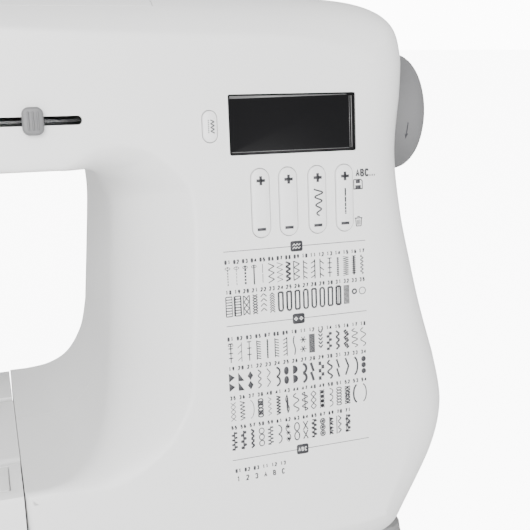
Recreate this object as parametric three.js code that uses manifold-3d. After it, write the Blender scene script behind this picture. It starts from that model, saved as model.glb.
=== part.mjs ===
// Computerised free-arm sewing machine, in millimetres.
// +X runs from the needle to the handwheel, +Y from the user to the back, +Z up.
// The origin is on the table, under the middle of the machine.
import * as THREE from 'three';
import { mergeVertices } from 'three/addons/utils/BufferGeometryUtils.js';
import Module from 'manifold-3d';

const wasm = await Module();
wasm.setup();

// ---------------------------------------------------------------- driving dimensions
const WIDTH = 384;              // tray end to handwheel face
const DEPTH = 165.2;            // front crease to back
const CROWN_Z = 303;            // highest point of the covers
const ARM_HEIGHT = 78;          // crown to the underside of the arm
const BED_Z = 80.6;             // sewing surface above the table
const HEAD_CLEARANCE = 69;      // sewing surface to the bottom of the head
const COLUMN_WIDTH = 117;       // throat wall to the waist of the column's right side
const BULGE_OUT = 25;           // how far the lower right side swells past the waist
const WHEEL_RADIUS = 33;
const WHEEL_DEPTH = 24;         // along the shaft
const LEAN = Math.tan(THREE.MathUtils.degToRad(6.4));    // backward slope of the front face
const WALL = 2.6;               // cover thickness
const HEAD_WIDTH = 108;
const THROAT_SCOOP = 32;        // how far the throat wall comes forward and right to the face
const LIP_LENGTH = 86;          // base of the column, left of the throat wall
const BASE_GAP = 14;            // table to the lower edge of the covers
const CREASE_Z = 34;            // where the front face turns under
const BAR_REACH = 60;           // left end of the machine to the needle
const FREE_ARM_ROOM = 12;       // frame's back plate to the rear of the free arm
const SHAFT_RADIUS = 4;
const SHAFT_SETBACK = 72;       // front face to the main shaft
const TRAY_WALL = 3;
const FOOT_LIFT = 6;            // presser foot above the sewing surface at rest
const BOBBIN_RADIUS = 10.25;
const CASE_WALL = 1.15;          // bobbin holder
const HOOK_WALL = 1.1;
const BELT_THICKNESS = 1.6;
const PULLEY_RADIUS = 28;
const MOTOR_PULLEY_RADIUS = 8;
const TIMING_RADIUS = 14;
const HOOK_GEAR_RADIUS = 9;
const MOTOR_RADIUS = 24;
const MOTOR_LENGTH = 66;

// Control panel, measured in the front face from the panel's own centre.
const WINDOW_WIDTH = 64.7;
const WINDOW_HEIGHT = 27.9;
const WINDOW_CENTRE = [1.6, 61];
const ROCKER_WIDTH = 9.1;
const ROCKER_HEIGHT = 32.9;
const ROCKER_CENTRES = [-16.7, -2.6, 12.5, 27];
const ROCKER_ROW = 23.9;
const MODE_WIDTH = 6.9;
const MODE_HEIGHT = 14.5;
const MODE_CENTRE = [-40.1, 60.7];
const PANEL_PROUD = 1.4;        // how far the keys stand out of the face

// Clearances
const GAP = 0.3;                // between fixed neighbours
const KEY_GAP = 0.5;            // around keys and buttons
const RUNNING_GAP = 0.4;        // around turning and sliding pieces
const GEAR_GAP = 0.5;           // between the plain discs that stand for gears
const BOBBIN_GAP = 0.5;
const SWITCH_GAP = 0.7;         // around the tilting power switch

// ---------------------------------------------------------------- derived places
const RIGHT = WIDTH / 2;
const LEFT = -WIDTH / 2;
const REAR_Y = DEPTH / 2;
const ARM_Z = CROWN_Z - ARM_HEIGHT;
const HEAD_Z = BED_Z + HEAD_CLEARANCE;
const WAIST_X = RIGHT - WHEEL_DEPTH - 2;
const THROAT_X = WAIST_X - COLUMN_WIDTH;
const LIP_X = THROAT_X - LIP_LENGTH;
const COVER_LEFT = LEFT + 6;
const HEAD_RIGHT = COVER_LEFT + HEAD_WIDTH;
const PANEL_X = THROAT_X + 49;
const PANEL_Z = ARM_Z - 43;
const PANEL_Y = -DEPTH / 2 + LEAN * (PANEL_Z - CREASE_Z);
const SHAFT_Y = PANEL_Y + SHAFT_SETBACK;
const SHAFT_Z = ARM_Z + 16;
const PART_Y = SHAFT_Y;         // the covers meet in the plane of the main shaft
const NEEDLE_X = LEFT + BAR_REACH;
const NEEDLE_Y = SHAFT_Y - 12;
const PRESSER_Y = SHAFT_Y;
const HOOK_RADIUS = BOBBIN_RADIUS + BOBBIN_GAP + CASE_WALL + RUNNING_GAP + HOOK_WALL;
const HOOK_Y = NEEDLE_Y - HOOK_RADIUS - 1.1;    // its rim passes just behind the needle
const LOWER_GEAR_RADIUS = SHAFT_Y - HOOK_Y - HOOK_GEAR_RADIUS - GEAR_GAP;
const FREE_Y0 = HOOK_Y - HOOK_RADIUS - 10.1;    // room for the bobbin cover to slide forward
const FREE_LEFT = LEFT + 6;
const LOWER_Z = BED_Z - 38.6;
const PLATE_Y = SHAFT_Y + LOWER_GEAR_RADIUS + 1;    // the frame's back plate clears the gear
const FREE_Y1 = PLATE_Y + FREE_ARM_ROOM;
const FREE_ARM_DEPTH = FREE_Y1 - FREE_Y0;
const frontY = (z) => PANEL_Y + LEAN * (z - PANEL_Z);

// ---------------------------------------------------------------- materials
const paint = (color, roughness, metalness = 0) =>
  new THREE.MeshStandardMaterial({ color, roughness, metalness });
const COLOURS = {
  shell: 0xe6e6e4, grey: 0x9c9c9c, dark: 0x5c5c5c, lens: 0x1c1c1e, key: 0xdededc,
  steel: 0xb9bbbe, alloy: 0xa5a8aa, rubber: 0x2b2b2b, board: 0x2f5a3a, clear: 0xcfd6da,
};

// ---------------------------------------------------------------- solid helpers
function toSolid(geometry) {
  const bare = geometry.clone();
  bare.deleteAttribute('normal');
  bare.deleteAttribute('uv');
  const merged = mergeVertices(bare, 1e-4);
  const triVerts = new Uint32Array(merged.index.array);
  const vertProperties = new Float32Array(merged.attributes.position.array);
  if (signedVolume(vertProperties, triVerts) < 0) {
    triVerts.reverse();
  }
  return new wasm.Manifold(new wasm.Mesh({ numProp: 3, vertProperties, triVerts }));
}

function signedVolume(position, index) {
  const corner = (k) => new THREE.Vector3().fromArray(position, 3 * index[k]);
  let total = 0;
  for (let k = 0; k < index.length; k += 3) {
    total += corner(k).dot(corner(k + 1).cross(corner(k + 2)));
  }
  return total / 6;
}

function toGeometry(solid) {
  const mesh = solid.getMesh();
  const geometry = new THREE.BufferGeometry();
  geometry.setAttribute('position', new THREE.BufferAttribute(mesh.vertProperties, 3));
  geometry.setIndex(new THREE.BufferAttribute(mesh.triVerts, 1));
  geometry.computeVertexNormals();
  return geometry;
}

function combine(base, added = [], removed = []) {
  let solid = toSolid(base);
  for (const geometry of added) {
    solid = solid.add(toSolid(geometry));
  }
  for (const geometry of removed) {
    solid = solid.subtract(toSolid(geometry));
  }
  return toGeometry(solid);
}

const AXIS_TURN = { x: [0, 0, -Math.PI / 2], y: [0, 0, 0], z: [Math.PI / 2, 0, 0] };

// A geometry whose own axis is Y, turned so that the axis is the one named.
function along(geometry, axis) {
  const [turnX, , turnZ] = AXIS_TURN[axis];
  return geometry.rotateX(turnX).rotateZ(turnZ);
}

function block(x0, x1, y0, y1, z0, z1) {
  const box = new THREE.BoxGeometry(x1 - x0, y1 - y0, z1 - z0);
  return box.translate((x0 + x1) / 2, (y0 + y1) / 2, (z0 + z1) / 2);
}

// A round bar between two stations on an axis; `a` and `b` are its place across that axis.
function bar(axis, radius, from, to, a, b, sides = 20) {
  const rod = along(new THREE.CylinderGeometry(radius, radius, to - from, sides), axis);
  const middle = (from + to) / 2;
  const place = { x: [middle, a, b], y: [a, middle, b], z: [a, b, middle] }[axis];
  return rod.translate(...place);
}

// A turned piece: [radius, station] pairs about the named axis.
function turned(axis, profile, a, b, sides = 24) {
  const points = profile.map(([radius, station]) => new THREE.Vector2(radius, station));
  const closed = profile[0][0] > 0 ? [...points, points[0]] : points;
  const lathe = along(new THREE.LatheGeometry(closed, sides), axis);
  const place = { x: [0, a, b], y: [a, 0, b], z: [a, b, 0] }[axis];
  return lathe.translate(...place);
}

function roundedRect(width, height, radius, x = 0, y = 0) {
  const shape = new THREE.Shape();
  const w = width / 2;
  const h = height / 2;
  shape.absarc(x + w - radius, y - h + radius, radius, -Math.PI / 2, 0);
  shape.absarc(x + w - radius, y + h - radius, radius, 0, Math.PI / 2);
  shape.absarc(x - w + radius, y + h - radius, radius, Math.PI / 2, Math.PI);
  shape.absarc(x - w + radius, y - h + radius, radius, Math.PI, 1.5 * Math.PI);
  return shape;
}

// A flat outline in X and Y raised from z0 to z1.
function raised(shape, z0, z1, curveSegments = 6) {
  const settings = { depth: z1 - z0, bevelEnabled: false, curveSegments };
  return new THREE.ExtrudeGeometry(shape, settings).translate(0, 0, z0);
}

// An outline in Y and Z carried along X from x0 to x1.
function carried(outline, x0, x1) {
  const shape = new THREE.Shape(outline.map(([y, z]) => new THREE.Vector2(y, z)));
  const settings = { depth: x1 - x0, bevelEnabled: false, curveSegments: 8 };
  const solid = new THREE.ExtrudeGeometry(shape, settings);
  solid.applyMatrix4(new THREE.Matrix4().makeBasis(
    new THREE.Vector3(0, 1, 0), new THREE.Vector3(0, 0, 1), new THREE.Vector3(1, 0, 0)));
  return solid.translate(x0, 0, 0);
}

function piece(group, name, geometry, colour, roughness = 0.4, metalness = 0) {
  const mesh = new THREE.Mesh(geometry, paint(colour, roughness, metalness));
  mesh.name = name;
  group.add(mesh);
  return mesh;
}

// ---------------------------------------------------------------- the covers' outer form
// A section says how the surface runs from the parting plane to the face: how far it comes in,
// over what depth, and where its curve is pulled to, as shares of those two.
const FACE_SECTIONS = {
  bottom: [20, 15, 0.42, 0.42],
  side: [32, 32, 0, 0],
  shoulder: [20, 40, 0, 0.3],
  top: [14, 52, 0, 0.5],
  end: [10, 10, 0, 0],
  throat: [4, 4, 0, 0],
  scoop: [THROAT_SCOOP, 58, 0, 0.45],
};
const BACK_SECTIONS = {
  bottom: [10, 10, 0, 0],
  side: [20, 20, 0, 0],
  shoulder: [18, 26, 0, 0],
  top: [16, 34, 0, 0],
  end: [10, 10, 0, 0],
  throat: [4, 4, 0, 0],
  scoop: [4, 4, 0, 0],
};

function straight(x0, z0, x1, z1, steps = 1) {
  return Array.from({ length: steps }, (_, k) => [
    x0 + (x1 - x0) * k / steps, z0 + (z1 - z0) * k / steps]);
}

function swept(x, z, radius, fromDegrees, toDegrees, steps = 4) {
  return Array.from({ length: steps }, (_, k) => {
    const angle = THREE.MathUtils.degToRad(fromDegrees + (toDegrees - fromDegrees) * k / steps);
    return [x + radius * Math.cos(angle), z + radius * Math.sin(angle)];
  });
}

function smooth(points, steps) {
  const curve = new THREE.SplineCurve(points.map(([x, z]) => new THREE.Vector2(x, z)));
  return curve.getSpacedPoints(steps).slice(0, -1).map((p) => [p.x, p.y]);
}

// The covers' outline in the front view, anticlockwise, with the section at each point.
function outline(sections) {
  const { bottom, side, shoulder, top, end, throat, scoop } = sections;
  const waist = WAIST_X;
  const bulge = WAIST_X + BULGE_OUT;
  const footRight = [
    [waist - 34, BASE_GAP], [waist - 11, BASE_GAP + 4], [waist + 1, BASE_GAP + 17],
    [bulge - 6, BASE_GAP + 47], [bulge, BASE_GAP + 74], [bulge - 5, BASE_GAP + 102]];
  const upRight = [
    [bulge - 5, BASE_GAP + 102], [bulge - 13, BASE_GAP + 130], [waist + 6, ARM_Z - 55],
    [waist + 1, ARM_Z - 30], [waist - 2, ARM_Z], [waist + 1, CROWN_Z - 50]];
  const shoulderRight = [
    [waist + 1, CROWN_Z - 50], [waist + 2, CROWN_Z - 29], [waist - 3, CROWN_Z - 13],
    [waist - 18, CROWN_Z - 4.5], [waist - 46, CROWN_Z - 1], [waist - 80, CROWN_Z]];
  const deep = THROAT_X - THROAT_SCOOP;
  const throatTop = [
    [deep - 28, ARM_Z], [deep - 14, ARM_Z - 2], [deep - 5, ARM_Z - 9], [deep - 0.5, ARM_Z - 20]];
  const throatWall = [
    [deep - 0.5, ARM_Z - 20], [deep, ARM_Z - 34], [deep - 2, ARM_Z - 64], [deep - 5, BED_Z + 42]];
  const throatFoot = [
    [deep - 5, BED_Z + 42], [deep - 9, BED_Z + 24], [deep - 18, BED_Z + 9],
    [deep - 30, BED_Z + 2], [deep - 44, BED_Z]];
  const headCorner = 12;
  const armCorner = 14;
  const crownCorner = 20;
  const runs = [
    [straight(LIP_X, BASE_GAP, waist - 34, BASE_GAP, 3), bottom, bottom],
    [smooth(footRight, 12), bottom, side],
    [smooth(upRight, 8), side, side],
    [smooth(shoulderRight, 10), side, shoulder],
    [straight(waist - 80, CROWN_Z, COVER_LEFT + crownCorner, CROWN_Z, 4), shoulder, top],
    [swept(COVER_LEFT + crownCorner, CROWN_Z - crownCorner, crownCorner, 90, 180), top, end],
    [straight(COVER_LEFT, CROWN_Z - crownCorner, COVER_LEFT, HEAD_Z + headCorner, 2), end, end],
    [swept(COVER_LEFT + headCorner, HEAD_Z + headCorner, headCorner, 180, 270, 3), end, throat],
    [straight(COVER_LEFT + headCorner, HEAD_Z, HEAD_RIGHT - headCorner, HEAD_Z), throat, throat],
    [swept(HEAD_RIGHT - headCorner, HEAD_Z + headCorner, headCorner, 270, 360, 3), throat, throat],
    [straight(HEAD_RIGHT, HEAD_Z + headCorner, HEAD_RIGHT, ARM_Z - armCorner), throat, throat],
    [swept(HEAD_RIGHT + armCorner, ARM_Z - armCorner, armCorner, 180, 90, 3), throat, throat],
    [straight(HEAD_RIGHT + armCorner, ARM_Z, deep - 28, ARM_Z, 2), throat, throat],
    [smooth(throatTop, 8), throat, scoop],
    [smooth(throatWall, 5), scoop, scoop],
    [smooth(throatFoot, 9), scoop, throat],
    [straight(deep - 44, BED_Z, LIP_X, BED_Z), throat, throat],
    [straight(LIP_X, BED_Z, LIP_X, BASE_GAP, 2), throat, bottom],
  ];
  return withNormals(runs.flatMap(([points, first, last]) => points.map(([x, z], k) => ({
    x, z, section: first.map((value, n) => value + (last[n] - value) * k / points.length) }))));
}

// Adds to each outline point the outward direction, lengthened at corners so walls keep even.
function withNormals(points) {
  return points.map((point, k) => {
    const before = points[(k + points.length - 1) % points.length];
    const after = points[(k + 1) % points.length];
    const normal = (a, b) => new THREE.Vector2(b.z - a.z, a.x - b.x).normalize();
    const first = normal(before, point);
    const second = normal(point, after);
    const middle = first.clone().add(second).normalize();
    middle.divideScalar(Math.max(0.6, middle.dot(first)));
    return { ...point, nx: middle.x, nz: middle.y };
  });
}

// A closed solid inside the covers' outer form, from the parting plane to one face.
// `side` is -1 for the front half and 1 for the back half, `inward` is the wall left outside it.
function halfBody(side, inward, steps = 4) {
  const points = outline(side < 0 ? FACE_SECTIONS : BACK_SECTIONS);
  const faceY = (z) => (side < 0 ? frontY(z) : REAR_Y);
  const rings = [points.map((p) => [p.x - p.nx * inward, PART_Y, p.z - p.nz * inward])];
  for (let step = 0; step <= steps; step += 1) {
    const t = step / steps;
    rings.push(points.map((p) => {
      const [reach, depth, pullIn, pullBack] = p.section;
      const inset = inward + 2 * t * (1 - t) * reach * pullIn + t * t * reach;
      const behind = (1 - t) * (1 - t) * depth + 2 * t * (1 - t) * depth * pullBack;
      const z = p.z - p.nz * inset;
      return [p.x - p.nx * inset, faceY(z) - side * (behind + inward), z];
    }));
  }
  const count = points.length;
  const position = rings.flat(2);
  const index = [];
  for (let ring = 0; ring < rings.length - 1; ring += 1) {
    for (let k = 0; k < count; k += 1) {
      const a = ring * count + k;
      const b = ring * count + (k + 1) % count;
      index.push(a, b, b + count, a, b + count, a + count);
    }
  }
  for (const [ring, flip] of [[0, true], [rings.length - 1, false]]) {
    const flat = rings[ring].map(([x, , z]) => new THREE.Vector2(x, z));
    for (const [a, b, c] of THREE.ShapeUtils.triangulateShape(flat, [])) {
      const start = ring * count;
      index.push(start + a, start + (flip ? c : b), start + (flip ? b : c));
    }
  }
  const geometry = new THREE.BufferGeometry();
  geometry.setAttribute('position', new THREE.Float32BufferAttribute(position, 3));
  geometry.setIndex(index);
  return geometry;
}

// The cover of one half: outer form less inner form, cut back from the parting plane.
function coverShell(side) {
  const shell = toSolid(halfBody(side, 0)).subtract(toSolid(halfBody(side, WALL)));
  const past = 2 * WIDTH;
  const trim = side < 0
    ? block(-past, past, PART_Y - GAP / 2, past, -past, past)
    : block(-past, past, -past, PART_Y + GAP / 2, -past, past);
  return shell.subtract(toSolid(trim));
}

// ---------------------------------------------------------------- the control panel's frame
// Panel pieces are drawn in X and Y with Z out of the face, and this turns them into place.
const PANEL_FRAME = new THREE.Matrix4()
  .makeTranslation(PANEL_X, PANEL_Y, PANEL_Z)
  .multiply(new THREE.Matrix4().makeRotationX(Math.PI / 2 - Math.atan(LEAN)));
const onPanel = (geometry) => geometry.applyMatrix4(PANEL_FRAME);
// The same, for a piece of the face at any X and height.
const faceSpot = (x, z) => [x - PANEL_X, (z - PANEL_Z) * Math.hypot(1, LEAN)];

const pill = (width, height, [x, y]) => roundedRect(width, height, width / 2 - 0.01, x, y);

// Head and arm controls: name, place on the face, width, height.
const BUTTONS = [
  ['start_button', HEAD_RIGHT - 22, HEAD_Z + 22, 15, 15],
  ['reverse_button', HEAD_RIGHT - 22, HEAD_Z + 42, 15, 9],
  ['lock_button', HEAD_RIGHT - 22, HEAD_Z + 56, 15, 9],
  ['needle_button', HEAD_RIGHT - 22, HEAD_Z + 70, 15, 9],
];
const BUTTON_TRAVEL = 1.2;
const SLIDER = { x: (HEAD_RIGHT + THROAT_X) / 2 - 6, z: ARM_Z + 22, reach: 16 };
const DIAL = { x: HEAD_RIGHT - 18, radius: 15, thickness: 8, z: CROWN_Z - 32 };
DIAL.y = frontY(DIAL.z) + 9;
const TAKE_UP = { x: NEEDLE_X + 8, thickness: 3, pivotY: SHAFT_Y - 26, pivotZ: SHAFT_Z + 5 };
const LID = { x0: COVER_LEFT + 34, x1: THROAT_X - 12, y0: frontY(CROWN_Z) + 12, y1: SHAFT_Y + 24 };
const WINDER = { x: PANEL_X + 18, y: SHAFT_Y - 8, shift: 5, radius: 3, base: 13 };
const STOPPER = { x: WINDER.x + 24, y: WINDER.y, radius: 4 };
const SOCKET = { y0: SHAFT_Y + 20, y1: SHAFT_Y + 52, z0: BASE_GAP + 20, z1: BASE_GAP + 46 };
const SWITCH = { y0: SOCKET.y0 + 4, y1: SOCKET.y1 - 6, z0: SOCKET.z1 + 6, z1: SOCKET.z1 + 20 };
const FEED_LEVER = { x: LIP_X + 36, z: BASE_GAP + 22, reach: 12 };
const HANDLE = { x0: HEAD_RIGHT + 4, x1: THROAT_X + 6, y: SHAFT_Y + 31, reach: 32 };
const HEAD_BARS = {
  threader: { x: NEEDLE_X - 17, y: NEEDLE_Y - 6, radius: 2.2, travel: 30 },
  buttonhole: { x: NEEDLE_X - 26, y: NEEDLE_Y + 8, radius: 2.2, travel: 28 },
};

// Everything that opens the covers, each cutter reaching well past the wall it cuts.
function coverOpenings() {
  const through = 12;
  const cuts = [];
  const faceCut = (shape) => cuts.push(onPanel(raised(shape, -through, through, 4)));
  faceCut(roundedRect(WINDOW_WIDTH + 2 * GAP, WINDOW_HEIGHT + 2 * GAP, 2.5, ...WINDOW_CENTRE));
  faceCut(pill(MODE_WIDTH + 2 * KEY_GAP, MODE_HEIGHT + 2 * KEY_GAP, MODE_CENTRE));
  for (const x of ROCKER_CENTRES) {
    faceCut(pill(ROCKER_WIDTH + 2 * KEY_GAP, ROCKER_HEIGHT + 2 * KEY_GAP, [x, ROCKER_ROW]));
  }
  for (const [, x, z, width, height] of BUTTONS) {
    faceCut(roundedRect(width + 2 * KEY_GAP, height + 2 * KEY_GAP, 4, ...faceSpot(x, z)));
  }
  const [sliderX, sliderY] = faceSpot(SLIDER.x, SLIDER.z);
  faceCut(roundedRect(2 * SLIDER.reach + 10, 4, 1.9, sliderX, sliderY));
  const dialSlot = DIAL.thickness / 2 + RUNNING_GAP;
  const dialReach = DIAL.radius + 1;
  cuts.push(block(DIAL.x - dialSlot, DIAL.x + dialSlot, DIAL.y - 30, DIAL.y + 4,
    DIAL.z - dialReach, DIAL.z + dialReach));
  cuts.push(block(TAKE_UP.x - 3, TAKE_UP.x + 3, frontY(CROWN_Z) - 30, frontY(CROWN_Z) + 8,
    SHAFT_Z - 20, CROWN_Z - 22));
  cuts.push(block(LID.x0 - GAP, LID.x1 + GAP, LID.y0 - GAP, LID.y1 + GAP, CROWN_Z - 12, CROWN_Z + 9));
  cuts.push(bar('x', 12, WAIST_X - 20, WAIST_X + 20, SHAFT_Y, SHAFT_Z));
  cuts.push(block(WINDER.x - 4, WINDER.x + WINDER.shift + 4, WINDER.y - 4, WINDER.y + 4,
    CROWN_Z - through, CROWN_Z + through));
  const barRoom = 6;
  cuts.push(block(NEEDLE_X - barRoom, NEEDLE_X + barRoom, NEEDLE_Y - barRoom, PRESSER_Y + barRoom,
    HEAD_Z - through, HEAD_Z + through));
  for (const { x, y, radius } of Object.values(HEAD_BARS)) {
    cuts.push(bar('z', radius + KEY_GAP, HEAD_Z - through, HEAD_Z + through, x, y, 16));
  }
  const windowSill = 20;
  cuts.push(block(COVER_LEFT - through, COVER_LEFT + 6, frontY(HEAD_Z) + 24, REAR_Y - 34,
    HEAD_Z + windowSill, CROWN_Z - 28));
  cuts.push(block(LIP_X - through, LIP_X + through, FREE_Y0 + 4, FREE_Y1 - 4,
    BASE_GAP + 6, BED_Z - 6));
  const far = WAIST_X + 60;
  for (const [{ y0, y1, z0, z1 }, gap] of [[SOCKET, GAP], [SWITCH, SWITCH_GAP]]) {
    cuts.push(block(WAIST_X - 12, far, y0 - gap, y1 + gap, z0 - gap, z1 + gap));
  }
  cuts.push(block(FEED_LEVER.x - FEED_LEVER.reach, FEED_LEVER.x + FEED_LEVER.reach,
    REAR_Y - through, REAR_Y + through, FEED_LEVER.z - 2.5, FEED_LEVER.z + 2.5));
  return cuts.map(toSolid);
}

function cutAll(solid, cutters) {
  return cutters.reduce((rest, cutter) => rest.subtract(cutter), solid);
}

// ---------------------------------------------------------------- covers and base
function addCovers(group) {
  const cutters = coverOpenings();
  piece(group, 'front_cover', toGeometry(cutAll(coverShell(-1), cutters)), COLOURS.shell, 0.35);
  let rear = coverShell(1);
  for (const x of [HANDLE.x0 + 4, HANDLE.x1 - 4]) {
    rear = rear.add(toSolid(block(x - 3, x + 3, HANDLE.y - 5, HANDLE.y + 5, CROWN_Z - 3, CROWN_Z + 8)));
  }
  const pivots = [[HANDLE.x0, HANDLE.x0 + 8], [HANDLE.x1 - 8, HANDLE.x1]].map(([x0, x1]) =>
    toSolid(bar('x', 1.5 + RUNNING_GAP, x0, x1, HANDLE.y, CROWN_Z + 4.5, 12)));
  piece(group, 'rear_cover', toGeometry(cutAll(rear, [...cutters, ...pivots])), COLOURS.shell, 0.35);
  addLid(group);
  addFaceCover(group);
}

// The lid is the piece of the covers' top between its four edges.
function addLid(group) {
  const shell = [-1, 1].map((side) =>
    toSolid(halfBody(side, 0)).subtract(toSolid(halfBody(side, WALL))));
  const cutter = block(LID.x0, LID.x1, LID.y0, LID.y1, CROWN_Z - 12, CROWN_Z + 9);
  const lid = shell[0].add(shell[1]).intersect(toSolid(cutter));
  piece(group, 'top_lid', toGeometry(lid), COLOURS.shell, 0.35);
}

function addFaceCover(group) {
  const y0 = frontY(HEAD_Z) + 14;
  const y1 = REAR_Y - 14;
  const z0 = HEAD_Z + 6;
  const z1 = CROWN_Z - 16;
  const shape = roundedRect(y1 - y0, z1 - z0, 14, (y0 + y1) / 2, (z0 + z1) / 2);
  const outlinePoints = shape.getPoints(5).slice(0, -1).map((p) => [p.x, p.y]);
  const plate = carried(outlinePoints, LEFT, COVER_LEFT - GAP);
  const hollow = block(LEFT + 2.4, COVER_LEFT, y0 + 16, y1 - 16, z0 + 16, z1 - 16);
  piece(group, 'face_cover', combine(plate, [], [hollow]), COLOURS.shell, 0.35);
}

function addBase(group) {
  const top = BASE_GAP - GAP;
  const under = 5;
  const right = WAIST_X + 4;
  const column = roundedRect(right - LIP_X, DEPTH - 26, 12, (right + LIP_X) / 2, 4);
  const armPlate = block(FREE_LEFT + 2, LIP_X + 20, FREE_Y0 + 2, FREE_Y1 - 2, under, top);
  piece(group, 'base_tray', combine(raised(column, under, top, 5), [armPlate]), COLOURS.dark, 0.6);
  const spots = [[WAIST_X - 30, -52], [WAIST_X - 30, 58], [FREE_LEFT + 22, FREE_Y0 + 14],
    [FREE_LEFT + 22, FREE_Y1 - 14]];
  spots.forEach(([x, y], k) => {
    piece(group, `rubber_foot_${k + 1}`, bar('z', 9, 0, under - GAP, x, y, 20), COLOURS.rubber, 0.9);
  });
}

function addFreeArm(group) {
  const radius = 6;
  const height = BED_Z - BASE_GAP;
  const section = (inset) => roundedRect(FREE_ARM_DEPTH - 2 * inset, height - 2 * inset,
    radius - inset, (FREE_Y0 + FREE_Y1) / 2, (BED_Z + BASE_GAP) / 2)
    .getPoints(4).slice(0, -1).map((p) => [p.x, p.y]);
  const right = LIP_X - GAP;
  const outer = carried(section(0), FREE_LEFT, right);
  const inner = carried(section(2.4), FREE_LEFT + 2.4, right + 1);
  const plate = plateSpan();
  const cover = bobbinCoverSpan();
  const ledge = 3;
  const recess = (s, depth, shrink, front = 0) => block(s.x0 + shrink, s.x1 - shrink,
    s.y0 - front + shrink, s.y1 - shrink, BED_Z - depth, BED_Z + 5);
  const openings = [
    recess({ x0: plate.x0 - GAP, x1: plate.x1 + GAP, y0: plate.y0 - GAP, y1: plate.y1 + GAP }, 1.9, 0),
    recess({ x0: cover.x0 - GAP, x1: cover.x1 + GAP, y0: cover.y0 - GAP, y1: plate.y0 }, 1.9, 0,
      COVER_SLIDE),
    recess(plate, 6, ledge),
    recess({ ...cover, y1: plate.y0 + 2 * ledge }, 6, ledge),
  ];
  piece(group, 'free_arm_cover', combine(outer, [], [inner, ...openings]), COLOURS.shell, 0.35);
}

const COVER_SLIDE = 3;
const plateSpan = () => ({ x0: NEEDLE_X - 28, x1: NEEDLE_X + 28, y0: NEEDLE_Y - 6, y1: NEEDLE_Y + 34 });
const bobbinCoverSpan = () => ({
  x0: NEEDLE_X - HOOK_RADIUS - 3.6, x1: NEEDLE_X + HOOK_RADIUS + 3.6,
  y0: HOOK_Y - HOOK_RADIUS - 4, y1: plateSpan().y0 - GAP });

function addNeedlePlate(group) {
  const { x0, x1, y0, y1 } = plateSpan();
  const shape = roundedRect(x1 - x0, y1 - y0, 4, (x0 + x1) / 2, (y0 + y1) / 2);
  const plate = raised(shape, BED_Z - 1.6, BED_Z, 3);
  const slots = [block(NEEDLE_X - 3.4, NEEDLE_X + 3.4, NEEDLE_Y - 1.2, NEEDLE_Y + 1.2,
    BED_Z - 5, BED_Z + 5)];
  for (const side of [-1, 1]) {
    const middle = NEEDLE_X + side * FEED.spread;
    slots.push(block(middle - FEED.width / 2 - 0.6, middle + FEED.width / 2 + 0.6,
      NEEDLE_Y - 2 - FEED.travel - 0.6, NEEDLE_Y + FEED.length + FEED.travel - 1.4,
      BED_Z - 5, BED_Z + 5));
  }
  piece(group, 'needle_plate', combine(plate, [], slots), COLOURS.steel, 0.25, 0.9);
  const cover = bobbinCoverSpan();
  piece(group, 'bobbin_cover', block(cover.x0, cover.x1, cover.y0, cover.y1, BED_Z - 1.6, BED_Z),
    COLOURS.clear, 0.1);
}

// The accessory tray wraps the free arm and slides off to the left; its front box has a lid.
function addAccessoryTray(group) {
  const faceTop = frontY(BED_Z);
  const outer = carried([
    [faceTop + 14, 8], [frontY(CREASE_Z), CREASE_Z], [frontY(BED_Z - 5), BED_Z - 5],
    [faceTop + 4, BED_Z], [REAR_Y - 5, BED_Z], [REAR_Y, BED_Z - 5], [REAR_Y, 28],
    [REAR_Y - 14, 8]], LEFT, LIP_X - 2 * GAP);
  const slot = block(FREE_LEFT - 2 * GAP, RIGHT, FREE_Y0 - 2 * GAP, FREE_Y1 + 2 * GAP, -10, 200);
  const well = trayWell();
  const hollow = block(well.x0, well.x1, well.y0, well.y1, 8 + TRAY_WALL, BED_Z + 10);
  const rim = block(well.x0 - 2, well.x1 + 2, well.y0 - 1, well.y1 + 1, BED_Z - 2.6, BED_Z + 10);
  const behind = block(LEFT + 20, LIP_X + 5, FREE_Y1 + 5, REAR_Y - 5, -10, BED_Z - TRAY_WALL);
  piece(group, 'accessory_tray', combine(outer, [], [slot, hollow, rim, behind]), COLOURS.shell, 0.35);
  const lid = block(well.x0 - 1.6, well.x1 + 1.6, well.y0 - 0.6, well.y1 + 0.6, BED_Z - 2.2, BED_Z);
  piece(group, 'tray_lid', lid, COLOURS.shell, 0.35);
}

const trayWell = () => ({
  x0: LEFT + 8, x1: LIP_X - 8, y0: frontY(BED_Z) + 8, y1: FREE_Y0 - 2 * GAP - TRAY_WALL });

function addHandle(group) {
  const thick = 5;
  const z0 = CROWN_Z + 2;
  const z1 = CROWN_Z + 7;
  const tail = 3;                 // past the pivot, short enough to turn above the crown
  const inner0 = HANDLE.x0 + 0.6;
  const inner1 = HANDLE.x1 - 0.6;
  const bars = [
    block(inner0 - thick, inner0, HANDLE.y - tail, HANDLE.y + HANDLE.reach, z0, z1),
    block(inner1, inner1 + thick, HANDLE.y - tail, HANDLE.y + HANDLE.reach, z0, z1),
    bar('x', 1.5, inner0 - 1, inner0 + 5, HANDLE.y, CROWN_Z + 4.5, 12),
    bar('x', 1.5, inner1 - 5, inner1 + 1, HANDLE.y, CROWN_Z + 4.5, 12),
  ];
  const grip = block(inner0 - thick, inner1 + thick, HANDLE.y + HANDLE.reach - 10,
    HANDLE.y + HANDLE.reach, z0, z1);
  piece(group, 'carry_handle', combine(grip, bars), COLOURS.shell, 0.35);
}

// ---------------------------------------------------------------- control panel
function key(shape, flange, height = PANEL_PROUD, curveSegments = 4) {
  const back = -(WALL + 2);
  return combine(raised(shape, back, height, curveSegments),
    [raised(flange, back - 2, back, curveSegments)]);
}

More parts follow.
